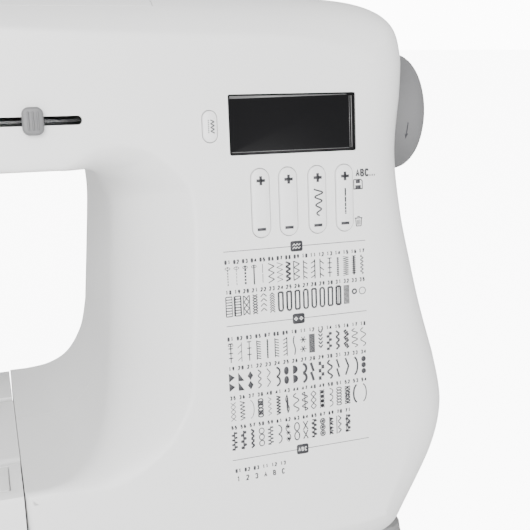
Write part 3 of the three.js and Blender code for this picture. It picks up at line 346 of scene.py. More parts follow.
class Net:
    """A material's node tree."""

    def __init__(self, name):
        self.material = bpy.data.materials.new(name)
        self.material.use_nodes = True
        self.tree = self.material.node_tree
        self.shader = self.tree.nodes["Principled BSDF"]

    def node(self, kind, settings=None, inputs=None, output=0):
        """Adds any node: its settings first, then the values or links of its sockets."""
        made = self.tree.nodes.new(kind)
        for key, value in (settings or {}).items():
            setattr(made, key, value)
        for key, value in (inputs or {}).items():
            self.feed(made.inputs[key], value)
        return Value(self, made.outputs[output])

    def feed(self, socket, value):
        """Links a Value to a socket, or sets a plain value on it."""
        if isinstance(value, Value):
            self.tree.links.new(value.socket, socket)
        else:
            socket.default_value = value

    def set(self, **values):
        """Feeds the shader's own sockets by name."""
        for key, value in values.items():
            self.feed(self.shader.inputs[key.replace("_", " ")], value)

    def position(self):
        """Object coordinates, in metres."""
        return self.node("ShaderNodeTexCoord", output="Object")

    def noise(self, scale, detail=3.0, vector=None):
        """A noise pattern between 0 and 1."""
        return self.node("ShaderNodeTexNoise", {}, {
            "Vector": vector or self.position(), "Scale": scale, "Detail": detail})

    def mix(self, factor, first, second):
        """A colour between two colours."""
        made = self.tree.nodes.new("ShaderNodeMix")
        made.data_type = "RGBA"
        self.feed(made.inputs[0], factor)
        self.feed(made.inputs[6], first)
        self.feed(made.inputs[7], second)
        return Value(self, made.outputs[2])

    def bump(self, height, strength, distance):
        """A normal tilted by the slope of a height."""
        return self.node("ShaderNodeBump", {}, {
            "Height": height, "Strength": strength, "Distance": distance})


def rgba(colour, scale=1.0):
    """A colour times a number, never above 1, with full alpha."""
    return (*[min(1.0, c * scale) for c in colour[:3]], 1.0)


def moulded(name, colour, roughness, grain=900.0, depth=0.00002, coat=0.0, spread=0.02):
    """Moulded plastic: a fine spark-eroded grain, and a faint drift of tone and gloss."""
    net = Net(name)
    drift = net.noise(14.0, 2.0)
    grains = net.noise(grain, 2.0)
    net.set(
        Base_Color=net.mix(drift, rgba(colour, 1 - spread), rgba(colour, 1 + spread)),
        Roughness=drift * 0.06 + (grains * 0.05 + (roughness - 0.055)),
        Normal=net.bump(grains, 0.35, depth),
    )
    net.shader.inputs["Coat Weight"].default_value = coat
    net.shader.inputs["Coat Roughness"].default_value = 0.12
    return net.material


def metal(name, colour, roughness, stretch=(1.0, 1.0, 30.0)):
    """Ground steel or alloy: long fine scratches along one axis and a mottled gloss."""
    net = Net(name)
    along = net.node("ShaderNodeMapping", {}, {"Vector": net.position(), "Scale": stretch})
    scratches = net.noise(260.0, 4.0, along)
    cloud = net.noise(60.0, 3.0)
    net.set(
        Base_Color=net.mix(cloud, rgba(colour, 0.9), rgba(colour, 1.08)),
        Roughness=scratches * 0.14 + (cloud * 0.08 + (roughness - 0.1)),
        Normal=net.bump(scratches, 0.12, 0.00002),
    )
    net.shader.inputs["Metallic"].default_value = 1.0
    return net.material


def smoked_glass(name, colour):
    """Black display window: glossy, with a faint unevenness in its gloss."""
    net = Net(name)
    haze = net.noise(30.0, 2.0)
    net.set(
        Base_Color=net.mix(haze, rgba(colour, 0.9), rgba(colour, 1.2)),
        Roughness=haze * 0.05 + 0.16,
    )
    net.shader.inputs["Specular IOR Level"].default_value = 0.16
    return net.material


def clear_plastic(name):
    """Clear plastic with a slight tint and moulding waves."""
    net = Net(name)
    waves = net.noise(90.0, 2.0)
    net.set(
        Base_Color=net.mix(waves, (0.80, 0.84, 0.86, 1), (0.88, 0.91, 0.92, 1)),
        Roughness=waves * 0.1 + 0.05,
        Alpha=waves * 0.1 + 0.35,
    )
    return net.material


def circuit_board(name):
    """Green board with lighter tracks where a cell pattern's borders run."""
    net = Net(name)
    cells = net.node("ShaderNodeTexVoronoi", {"feature": "DISTANCE_TO_EDGE"}, {
        "Vector": net.position(), "Scale": 220.0})
    tracks = net.node("ShaderNodeMath", {"operation": "LESS_THAN"}, {0: cells, 1: 0.06})
    net.set(
        Base_Color=net.mix(tracks, (0.02, 0.09, 0.04, 1), (0.12, 0.28, 0.12, 1)),
        Roughness=tracks * -0.2 + 0.6,
    )
    return net.material


MATERIALS = {}


def material(name):
    """A finish made by make_materials, by its short name."""
    return MATERIALS[name]


def make_materials():
    """Makes every finish from the colours in the sidebar."""
    look = bpy.context.scene.machine_finish
    MATERIALS.update({
        "shell": moulded("White shell", look.shell, look.shell_roughness),
        "key": moulded("White key", look.key, 0.32, grain=600.0),
        "grey": moulded("Grey plastic", look.grey, 0.45, grain=700.0, depth=0.00004),
        "base": moulded("Base plastic", look.base, 0.6, grain=500.0, depth=0.00006),
        "dark": moulded("Dark plastic", (0.03, 0.03, 0.03), 0.45, grain=600.0),
        # grey of the painted reflection strips inside the display window, not a real edge
        "edge": moulded("Window painted reflection", (0.12, 0.12, 0.12), 0.25, grain=400.0),
        "ink": moulded("Chart ink", look.print_ink, 0.5, grain=500.0),
        "rubber": moulded("Black rubber", (0.02, 0.02, 0.02), 0.8, grain=350.0, depth=0.0001),
        "lens": smoked_glass("Display window", look.lens),
        "clear": clear_plastic("Clear plastic"),
        "board": circuit_board("Circuit board"),
        "steel": metal("Polished steel", (0.60, 0.61, 0.62), 0.26),
        "cast": metal("Cast alloy", (0.45, 0.46, 0.47), 0.5, (1.0, 1.0, 1.0)),
    })


# ------------------------------------------------------------------ the covers' outer form
# A section says how the surface runs from the parting plane to the face: how far it comes in,
# over what depth, and where its curve is pulled to, as shares of those two; the last value is
# the rounding where it meets the face.
def face_sections():
    """The front half's sections by name."""
    edge, crease = shape_setting("edge"), shape_setting("crease")
    return {
        "bottom": (20, 15, 0.42, 0.42, edge), "side": (32, 32, 0, 0, edge),
        "shoulder": (20, 40, 0, 0.3, crease), "top": (14, 52, 0, 0.5, crease),
        "end": (10, 10, 0, 0, edge), "throat": (4, 4, 0, 0, edge), "scoop": (SCOOP, 58, 0, 0.45, edge),
    }


def back_sections():
    """The rear half's sections by name."""
    edge = shape_setting("edge")
    return {
        "bottom": (10, 10, 0, 0, edge), "side": (20, 20, 0, 0, edge),
        "shoulder": (18, 26, 0, 0, edge), "top": (16, 34, 0, 0, edge),
        "end": (10, 10, 0, 0, edge), "throat": (4, 4, 0, 0, edge), "scoop": (4, 4, 0, 0, edge),
    }


def straight(x0, z0, x1, z1, steps):
    """Even steps along a straight line, without its last point."""
    return np.linspace((x0, z0), (x1, z1), steps, endpoint=False)


def swept(x, z, radius, start, end, steps):
    """Even steps along an arc: centre plus radius times cosine and sine, without its last point."""
    angle = np.radians(np.linspace(start, end, steps, endpoint=False))
    return np.stack([x + radius * np.cos(angle), z + radius * np.sin(angle)], -1)


def smooth(points, steps):
    """Catmull-Rom curve through the points, at even steps of its length."""
    p = np.array(points, float)
    p = np.vstack([p[0], p, p[-1]])
    t = np.linspace(0, len(points) - 1, 60 * len(points), endpoint=True)
    k = np.minimum(t.astype(int), len(points) - 2)
    f = (t - k)[:, None]
    a, b, c, d = p[k], p[k + 1], p[k + 2], p[k + 3]
    curve = 0.5 * (2 * b + (c - a) * f + (2 * a - 5 * b + 4 * c - d) * f ** 2
                   + (3 * b - a - 3 * c + d) * f ** 3)
    run = np.r_[0, np.cumsum(np.hypot(*np.diff(curve, axis=0).T))]
    even = np.linspace(0, run[-1], steps, endpoint=False)
    return np.stack([np.interp(even, run, curve[:, 0]), np.interp(even, run, curve[:, 1])], -1)


def outline(sections):
    """The covers' outline in the front view, anticlockwise, its sections and outward directions."""
    n = bpy.context.scene.machine_shape.detail
    w, bulge, deep = WAIST_X, WAIST_X + BULGE_OUT, THROAT_X - SCOOP
    foot_right = [(w - 34, BASE_GAP), (w - 11, BASE_GAP + 4), (w + 1, BASE_GAP + 17),
                  (bulge - 6, BASE_GAP + 47), (bulge, BASE_GAP + 74), (bulge - 5, BASE_GAP + 102)]
    up_right = [(bulge - 5, BASE_GAP + 102), (bulge - 13, BASE_GAP + 130), (w + 6, ARM_Z - 55),
                (w + 1, ARM_Z - 30), (w - 2, ARM_Z), (w + 1, CROWN_Z - 50)]
    shoulder_right = [(w + 1, CROWN_Z - 50), (w + 2, CROWN_Z - 29), (w - 3, CROWN_Z - 13),
                      (w - 18, CROWN_Z - 4.5), (w - 46, CROWN_Z - 1), (w - 80, CROWN_Z)]
    throat_top = [(deep - 28, ARM_Z), (deep - 14, ARM_Z - 2), (deep - 5, ARM_Z - 9),
                  (deep - 0.5, ARM_Z - 20)]
    throat_wall = [(deep - 0.5, ARM_Z - 20), (deep, ARM_Z - 34), (deep - 2, ARM_Z - 64),
                   (deep - 5, BED_Z + 42)]
    throat_foot = [(deep - 5, BED_Z + 42), (deep - 9, BED_Z + 24), (deep - 18, BED_Z + 9),
                   (deep - 30, BED_Z + 2), (deep - 44, BED_Z)]
    h, a, c = 12, 14, 20
    runs = [
        (straight(LIP_X, BASE_GAP, w - 34, BASE_GAP, 5 * n), "bottom", "bottom"),
        (smooth(foot_right, 12 * n), "bottom", "side"),
        (smooth(up_right, 8 * n), "side", "side"),
        (smooth(shoulder_right, 10 * n), "side", "shoulder"),
        (straight(w - 80, CROWN_Z, COVER_LEFT + c, CROWN_Z, 12 * n), "shoulder", "top"),
        (swept(COVER_LEFT + c, CROWN_Z - c, c, 90, 180, 4 * n), "top", "end"),
        (straight(COVER_LEFT, CROWN_Z - c, COVER_LEFT, HEAD_Z + h, 6 * n), "end", "end"),
        (swept(COVER_LEFT + h, HEAD_Z + h, h, 180, 270, 3 * n), "end", "throat"),
        (straight(COVER_LEFT + h, HEAD_Z, HEAD_RIGHT - h, HEAD_Z, 4 * n), "throat", "throat"),
        (swept(HEAD_RIGHT - h, HEAD_Z + h, h, 270, 360, 3 * n), "throat", "throat"),
        (straight(HEAD_RIGHT, HEAD_Z + h, HEAD_RIGHT, ARM_Z - a, 3 * n), "throat", "throat"),
        (swept(HEAD_RIGHT + a, ARM_Z - a, a, 180, 90, 3 * n), "throat", "throat"),
        (straight(HEAD_RIGHT + a, ARM_Z, deep - 28, ARM_Z, 4 * n), "throat", "throat"),
        (smooth(throat_top, 8 * n), "throat", "scoop"),
        (smooth(throat_wall, 5 * n), "scoop", "scoop"),
        (smooth(throat_foot, 9 * n), "scoop", "throat"),
        (straight(deep - 44, BED_Z, LIP_X, BED_Z, max(1, n // 2)), "throat", "throat"),
        (straight(LIP_X, BED_Z, LIP_X, BASE_GAP, 2 * n), "throat", "bottom"),
    ]
    points, rows = [], []
    for run, first, last in runs:
        share = np.arange(len(run))[:, None] / len(run)
        share = share * share * (3 - 2 * share) if first != last else share
        points.append(run)
        rows.append(np.array(sections[first]) * (1 - share) + np.array(sections[last]) * share)
    points, rows = np.concatenate(points), np.concatenate(rows)
    edge = np.roll(points, -1, 0) - points
    normal = np.stack([edge[:, 1], -edge[:, 0]], -1) / np.hypot(*edge.T)[:, None]
    middle = normal + np.roll(normal, 1, 0)
    middle /= np.hypot(*middle.T)[:, None]
    middle /= np.maximum(0.6, (middle * normal).sum(1))[:, None]
    return points, rows, middle


def section_rows(rows, steps=16, rounding=5):
    """Inset and depth of each point of every section, from the parting plane to the face.

    A quadratic curve runs from no inset to full inset, and a second one rounds the meeting
    with the face.
    """
    reach, depth, pull_in, pull_back, edge = rows.T
    span = np.hypot(reach, depth)
    last = 1 - np.minimum(0.45, edge / span)
    result = []
    for k in range(steps + 1):
        t = last * k / steps
        inset = 2 * t * (1 - t) * reach * pull_in + t * t * reach
        behind = (1 - t) ** 2 * depth + 2 * t * (1 - t) * depth * pull_back
        result.append((inset, behind))
    inset0, behind0 = result[-1]
    for k in range(1, rounding + 1):
        t = k / rounding
        inset = (1 - t) ** 2 * inset0 + 2 * t * (1 - t) * reach + t * t * (reach + edge)
        result.append((inset, (1 - t) ** 2 * behind0))
    return result


def fill(loop, spacing=7.0):
    """Triangles inside a flat loop, with even inner points so that shading stays calm."""
    low, high = loop.min(0), loop.max(0)
    gx, gz = np.meshgrid(np.arange(low[0], high[0], spacing), np.arange(low[1], high[1], spacing))
    grid = np.stack([gx.ravel(), gz.ravel()], -1)
    a, b = loop, np.roll(loop, -1, 0)
    crosses = (a[None, :, 1] > grid[:, None, 1]) != (b[None, :, 1] > grid[:, None, 1])
    slope = (b[:, 0] - a[:, 0]) / np.where(b[:, 1] == a[:, 1], 1e-9, b[:, 1] - a[:, 1])
    at = a[None, :, 0] + (grid[:, None, 1] - a[None, :, 1]) * slope[None, :]
    inside = (crosses & (grid[:, None, 0] < at)).sum(1) % 2 == 1
    near = np.hypot(grid[:, None, 0] - loop[None, ::3, 0], grid[:, None, 1] - loop[None, ::3, 1]).min(1)
    grid = grid[inside & (near > spacing * 0.5)]
    points = [Vector(p) for p in np.concatenate([loop, grid])]
    count = len(loop)
    edges = [(k, (k + 1) % count) for k in range(count)]
    flat_points, _, triangles, *_ = geometry.delaunay_2d_cdt(points, edges, [], 1, 1e-6)
    return np.array([list(p) for p in flat_points]), triangles


def turned_under(x, z, y, inward):
    """Keeps the foot's left end behind the curve that the lower edge follows under the face."""
    reach, depth, pull_in, pull_back, _ = face_sections()["bottom"]
    t = np.linspace(0, 1, 40)
    rise = 2 * t * (1 - t) * reach * pull_in + t * t * reach
    behind = (1 - t) ** 2 * depth + 2 * t * (1 - t) * depth * pull_back
    limit = front_y(z) + np.interp(z - BASE_GAP - inward, rise, behind) + inward
    return np.where(x < LIP_X + 25, np.maximum(y, limit), y)


def half_surface(side, inward):
    """Rings of one half of the covers: parting plane, sections, and the flat face's fill."""
    points, rows, normal = outline(face_sections() if side < 0 else back_sections())
    face_at = front_y if side < 0 else (lambda z: np.full_like(z, REAR_Y))
    start = points - normal * inward
    rings = [np.column_stack([start[:, 0], np.full(len(start), PART_Y + side * SEAM), start[:, 1]])]
    for inset, behind in section_rows(rows):
        flat_points = points - normal * (inset + inward)[:, None]
        y = face_at(flat_points[:, 1]) - side * (behind + inward)
        if side < 0:
            y = turned_under(flat_points[:, 0], flat_points[:, 1], y, inward)
        rings.append(np.column_stack([flat_points[:, 0], y, flat_points[:, 1]]))
    around = len(points)
    faces = ring_faces(len(rings), around)
    loop = rings[-1][:, [0, 2]]
    cap, triangles = fill(loop)
    cap_y = face_at(cap[:, 1]) - side * inward
    if side < 0:
        cap_y = turned_under(cap[:, 0], cap[:, 1], cap_y, inward)
    vertices = np.concatenate(rings + [np.column_stack([cap[:, 0], cap_y, cap[:, 1]])])
    base = len(rings) * around
    faces += [[k + base for k in t] for t in triangles]
    if side > 0:
        faces = [f[::-1] for f in faces]
    return vertices, faces, around


def half_shell(name, side):
    """A cover: its outer and inner surfaces joined by a rim in the parting plane."""
    outer, outer_faces, around = half_surface(side, 0.0)
    inner, inner_faces, _ = half_surface(side, WALL)
    base = len(outer)
    faces = outer_faces + [[k + base for k in f][::-1] for f in inner_faces]
    ring = np.arange(around)
    nxt = (ring + 1) % around
    rim = np.stack([ring, ring + base, nxt + base, nxt], -1)
    rim = rim if side < 0 else rim[:, ::-1]
    obj = make_object(name, np.concatenate([outer, inner]), faces + rim.tolist(), material("shell"))
    weld(obj)
    return obj


def weld(obj):
    """Merges the doubled points where the flat fill meets the last ring."""
    work = bmesh.new()
    work.from_mesh(obj.data)
    bmesh.ops.remove_doubles(work, verts=work.verts, dist=2e-6)
    work.to_mesh(obj.data)
    work.free()
    obj.data.set_sharp_from_angle(angle=math.radians(30))


# ------------------------------------------------------------------ panel layout, on the face
WINDOW = dict(width=64.7, height=27.9, radius=0.9, centre=(1.6, 61))
ROCKER = dict(width=9.1, height=32.9)
ROCKER_X = (-16.7, -2.6, 12.5, 27)
ROCKER_Y = 23.9
MODE = dict(width=6.9, height=14.5, centre=(-40.1, 60.7))
HEAD_KEYS = {
    "start_button": (HEAD_RIGHT - 22, HEAD_Z + 22, 15, 15),
    "reverse_button": (HEAD_RIGHT - 22, HEAD_Z + 42, 15, 9),
    "lock_button": (HEAD_RIGHT - 22, HEAD_Z + 56, 15, 9),
    "needle_button": (HEAD_RIGHT - 22, HEAD_Z + 70, 15, 9),
}
SLIDER = ((HEAD_RIGHT + THROAT_X) / 2 - 6, ARM_Z + 22, 16)
KEY_GAP = 0.35


def cutter(width, height, radius, centre, grow=0.0):
    """A rounded rectangle of the panel carried through the face, to cut an opening."""
    shape = lambda extra: rounded_rect(width, height, radius, centre, extra + grow, 8)
    return raised(shape, [(0, -14), (0, 14)], on_panel)


def cover_cuts():
    """Closed shapes that open the covers, as (vertices, faces)."""
    cuts = [cutter(WINDOW["width"], WINDOW["height"], WINDOW["radius"], WINDOW["centre"], 0.3),
            cutter(MODE["width"], MODE["height"], MODE["width"] / 2, MODE["centre"], KEY_GAP)]
    for x in ROCKER_X:
        cuts.append(cutter(ROCKER["width"], ROCKER["height"], ROCKER["width"] / 2, (x, ROCKER_Y), KEY_GAP))
    for x, z, width, height in HEAD_KEYS.values():
        cuts.append(cutter(width, height, 3.6, face_spot(x, z), KEY_GAP))
    x, z, reach = SLIDER
    cuts.append(cutter(2 * reach + 10, 4, 1.9, face_spot(x, z)))
    dial_low, dial_high = corners("tension_dial")
    cuts.append(block(dial_low[0] - 0.4, dial_high[0] + 0.4, dial_low[1] - 6,
                      (dial_low[1] + dial_high[1]) / 2 + 4,
                      dial_low[2] - 1, dial_high[2] + 1))
    lever_low, lever_high = corners("take_up_lever")
    lever_x = (lever_low[0] + lever_high[0]) / 2
    cuts.append(block(lever_x - 3, lever_x + 3, front_y(CROWN_Z) - 30, front_y(CROWN_Z) + 8,
                      SHAFT_Z - 20, CROWN_Z - 22))
    lid_low, lid_high = corners("top_lid")
    cuts.append(widened_block(lid_low, lid_high, 0.3, CROWN_Z - 12, CROWN_Z + 9))
    cuts.append(turned([(12, WAIST_X - 20), (12, WAIST_X + 20)], "x", (0, SHAFT_Y, SHAFT_Z), 48))
    bar_low, bar_high = corners("presser_bar")
    bar_x, needle_y = (bar_low[0] + bar_high[0]) / 2, SHAFT_Y - 12
    cuts.append(block(bar_x - 6, bar_x + 6, needle_y - 6, SHAFT_Y + 6, HEAD_Z - 12, HEAD_Z + 12))
    for x, y in ((bar_x - 17, needle_y - 6), (bar_x - 26, needle_y + 8)):
        cuts.append(turned([(2.7, HEAD_Z - 12), (2.7, HEAD_Z + 12)], "z", (x, y, 0), 24))
    cuts.append(block(COVER_LEFT - 12, COVER_LEFT + 6, front_y(HEAD_Z) + 24, REAR_Y - 34,
                      HEAD_Z + 20, CROWN_Z - 28))
    cuts.append(block(LIP_X - 12, LIP_X + 12, ARM_LOW[1] + 4, ARM_HIGH[1] - 4, BASE_GAP + 6, BED_Z - 6))
    for node, gap in (("socket_panel", 0.3), ("power_switch", 0.7)):
        low, high = corners(node)
        cuts.append(block(WAIST_X - 12, WAIST_X + 60, low[1] - gap, high[1] + gap, low[2] - gap,
                          high[2] + gap))
    drop_low, drop_high = corners("feed_drop_lever")
    middle = (drop_low + drop_high) / 2
    cuts.append(block(middle[0] - 12, middle[0] + 12, REAR_Y - 12, REAR_Y + 12, middle[2] - 2.5,
                      middle[2] + 2.5))
    winder = WINDER_AXIS
    cuts.append(block(winder[0] - 4, winder[0] + 9, winder[1] - 4, winder[1] + 4, CROWN_Z - 12,
                      CROWN_Z + 12))
    return cuts


WINDER_LOW, WINDER_HIGH = corners("winder_spindle")
WINDER_AXIS = (WINDER_LOW + WINDER_HIGH) / 2


class MACHINE_OT_covers(bpy.types.Operator):
    """Front and rear covers, and the lid cut from the same surface"""
    bl_idname = "machine.covers"
    bl_label = "Covers"

    def execute(self, context):
        cuts = cover_cuts()
        front = carve(half_shell("front_shell", -1), cuts)
        finish_piece(front, "machine", "white_shell", "front_cover")
        rear = carve(half_shell("rear_shell", 1), cuts)
        lugs = []
        low, high = corners("carry_handle")
        for x in (low[0] + 8.4, high[0] - 8.4):
            lugs.append(block(x - 3, x + 3, low[1] - 2, low[1] + 8, CROWN_Z - 2.4, CROWN_Z + 7.6))
        soften(add_piece("handle_lugs", joined(lugs), "shell", "machine", "white_shell"), 1.2)
        finish_piece(rear, "machine", "white_shell", "rear_cover")
        self.make_lid()
        self.make_face_cover()
        return {"FINISHED"}

    def make_lid(self):
        """The covers' own surface inside the lid's box, its two halves joined at the parting plane."""
        box = widened_block(*corners("top_lid"), 0, CROWN_Z - 12, CROWN_Z + 9)
        halves = []
        for side in (-1, 1):
            half = carve(half_shell("lid_half", side), [box], "INTERSECT")
            points = np.array([v.co for v in half.data.vertices]) / MM
            points[np.abs(points[:, 1] - PART_Y) < 0.2, 1] = PART_Y
            halves.append((points, [list(p.vertices) for p in half.data.polygons]))
            bpy.data.objects.remove(half)
        weld(add_piece("spool_lid", joined(halves), "shell", "top_lid", "white_shell", "top_lid"))

    def make_face_cover(self):
        low, high = corners("face_cover")
        centre = (-(low[1] + high[1]) / 2, (low[2] + high[2]) / 2)
        shape = lambda grow: rounded_rect(high[1] - low[1], high[2] - low[2], 14, centre, grow)
        rows = [(0, -high[0]), (0, -low[0] - 4)]
        angle = np.linspace(0.0, math.pi / 2, 9)
        rows += [(-10 + 10 * math.cos(a), -low[0] - 4 + 4 * math.sin(a)) for a in angle[1:]]
        add_piece("face_plate", raised(shape, rows, facing_left), "shell", "face_cover", "white_shell",
                  "face_cover")


class MACHINE_OT_base(bpy.types.Operator):
    """Dark base with a flared edge, and its rubber feet"""
    bl_idname = "machine.base"
    bl_label = "Base and feet"

    def execute(self, context):
        low, high = corners("base_tray")
        right, left = high[0], LIP_X
        shape = lambda grow: rounded_rect(right - left, high[1] - low[1], 12,
                                          ((right + left) / 2, (low[1] + high[1]) / 2), grow, 16)
        rows = [(-2.4, low[2]), (-0.8, low[2]), (0, low[2] + 0.8), (-0.6, low[2] + 3),
                (-1.4, high[2] - 1), (-1.8, high[2] - 0.3), (-2.4, high[2])]
        arm = lambda grow: rounded_rect(left + 20 - low[0], 76, 6,
                                        ((left + 20 + low[0]) / 2, (ARM_LOW[1] + ARM_HIGH[1]) / 2), grow)
        arm_rows = [(-1, low[2]), (0, low[2] + 1), (0, high[2] - 1), (-1, high[2])]
        add_piece("base_pan", joined([raised(shape, rows, flat), raised(arm, arm_rows, flat)]), "base",
                  "machine", "dark_base", "base_tray")
        for k in range(1, 5):
            low, high = corners(f"rubber_foot_{k}")
            x, y, _ = (low + high) / 2
            top = high[2]
            rows = [(0.01, 0), (6.6, 0), (7.6, 0.3), (8.2, 1.2), (9, top - 1), (9, top), (0.01, top)]
            add_piece(f"foot_pad_{k}", turned(rows, "z", (x, y, 0), 40), "rubber", "machine",
                      "black_rubber", f"rubber_foot_{k}")
        return {"FINISHED"}


def bed_profile():
    """The tray's cross-section in Y and Z, rounded at the top and tucked under at the bottom."""
    top = front_y(BED_Z)
    return [(top + 14, 8), (front_y(CREASE_Z), CREASE_Z), (top + 0.2, BED_Z - 3.2), (top + 1.2, BED_Z - 1),
            (top + 4, BED_Z), (REAR_Y - 5, BED_Z), (REAR_Y - 1.4, BED_Z - 1.4), (REAR_Y, BED_Z - 5),
            (REAR_Y, 28), (REAR_Y - 14, 8)]


def carried(outline_points, x0, x1):
    """A closed outline in Y and Z carried straight along X."""
    points = np.array(outline_points, float)
    n = len(points)
    rings = [np.column_stack([np.full(n, x), points]) for x in (x0, x1)]
    faces = ring_faces(2, n) + [list(range(n))[::-1], [n + k for k in range(n)]]
    return np.concatenate(rings), faces


class MACHINE_OT_bed(bpy.types.Operator):
    """Free arm, accessory tray with its lid, needle plate and bobbin cover"""
    bl_idname = "machine.bed"
    bl_label = "Bed"

    def execute(self, context):
        self.make_tray()
        self.make_free_arm()
        self.make_plates()
        return {"FINISHED"}

    def make_tray(self):
        right = TRAY_HIGH[0]
        well_low, well_high = corners("tray_lid")
        x0, x1 = well_low[0] + 1.6, well_high[0] - 1.6
        y0, y1 = well_low[1] + 0.6, well_high[1] - 0.6
        body = make_object("tray_shell", *carried(bed_profile(), LEFT, right), material("shell"))
        cuts = [
            block(ARM_LOW[0] - 0.6, RIGHT, ARM_LOW[1] - 0.6, ARM_HIGH[1] + 0.6, -10, 200),
            block(x0, x1, y0, y1, 11, BED_Z + 10),
            block(x0 - 2, x1 + 2, y0 - 1, y1 + 1, BED_Z - 2.6, BED_Z + 10),
            block(LEFT + 20, LIP_X + 5, ARM_HIGH[1] + 5, REAR_Y - 5, -10, BED_Z - 3),
        ]
        carve(body, cuts)
        soften(body, 0.8, 3)
        finish_piece(body, "accessory_tray", "white_shell", "accessory_tray")
        add_piece("tray_cover", self.plate_shape("tray_lid", 1.2, 0.6), "shell", "tray_lid",
                  "white_shell", "tray_lid")

    def plate_shape(self, node, radius, edge):
        """A flat plate as large as a node, with rounded corners and a soft upper edge."""
        low, high = corners(node)
        rows = [(0, low[2])] + soft_edge(low[2] + 0.2, high[2], edge)
        return raised(plan_of(low, high, radius), rows, flat)

    def make_free_arm(self):
        height = BED_Z - BASE_GAP
        centre = ((ARM_LOW[1] + ARM_HIGH[1]) / 2, (BED_Z + BASE_GAP) / 2)
        depth = ARM_HIGH[1] - ARM_LOW[1]
        outer = rounded_rect(depth, height, 6, centre, 0, 10)
        inner = rounded_rect(depth - 4.8, height - 4.8, 3.6, centre, 0, 10)
        body = make_object("free_arm_shell", *carried(outer, ARM_LOW[0], ARM_HIGH[0]), material("shell"))
        cover_low, cover_high = corners("bobbin_cover")
        cuts = [
            carried(inner, ARM_LOW[0] + 2.4, ARM_HIGH[0] + 1),
            widened_block(PLATE_LOW, PLATE_HIGH, 0.3, BED_Z - 1.9, BED_Z + 5),
            block(cover_low[0] - 0.3, cover_high[0] + 0.3, cover_low[1] - 3.3, PLATE_LOW[1], BED_Z - 1.9,
                  BED_Z + 5),
            widened_block(PLATE_LOW, PLATE_HIGH, -3, BED_Z - 6, BED_Z + 5),
            block(cover_low[0] + 3, cover_high[0] - 3, cover_low[1] + 3, PLATE_LOW[1] + 3.1, BED_Z - 6,
                  BED_Z + 5),
        ]
        carve(body, cuts)
        soften(body, 0.5, 2)
        finish_piece(body, "machine", "white_shell", "free_arm_cover")

    def make_plates(self):
        x = (PLATE_LOW[0] + PLATE_HIGH[0]) / 2
        y = SHAFT_Y - 12
        plate = make_object("stitch_plate", *self.plate_shape("needle_plate", 4, 0.35), material("steel"))
        cuts = [block(x - 3.4, x + 3.4, y - 1.2, y + 1.2, BED_Z - 5, BED_Z + 5)]
        for side in (-6.4, 6.4):
            cuts.append(block(x + side - 2.2, x + side + 2.2, y - 5.1, y + 21.1, BED_Z - 5, BED_Z + 5))
        for k in range(1, 5):
            for side in (-1, 1):
                cuts.append(block(x + side * (9 + 3.2 * k) - 0.25, x + side * (9 + 3.2 * k) + 0.25,
                                  y - 2, y + 12, BED_Z - 0.25, BED_Z + 5))
        carve(plate, cuts)
        finish_piece(plate, "machine", "polished_steel", "needle_plate")
        add_piece("bobbin_window", self.plate_shape("bobbin_cover", 1.5, 0.4), "clear", "bobbin_cover",
                  "clear_plastic", "bobbin_cover")


# ------------------------------------------------------------------ keys
def key_rows(proud, edge, dome=0.35):
    """A key's side, its rounded edge and a slightly domed top."""
    rows = [(1, -WALL - 4), (1, -WALL - 2), (0, -WALL - 1.99)] + soft_edge(-WALL - 1.9, proud - dome, edge)
    for share in (0.35, 0.7):
        rows.append((-edge - share * 2.6, proud - dome + dome * math.sin(share * math.pi / 2)))
    return rows


def key_piece(name, width, height, radius, centre, proud, edge, body, node):
    """One key: its rounded outline raised by the key's profile, out of the panel."""
    shape = lambda grow: rounded_rect(width, height, radius, centre, grow, 14)
    return add_piece(name, raised(shape, key_rows(proud, edge), on_panel), "key", body, "white_keys", node)


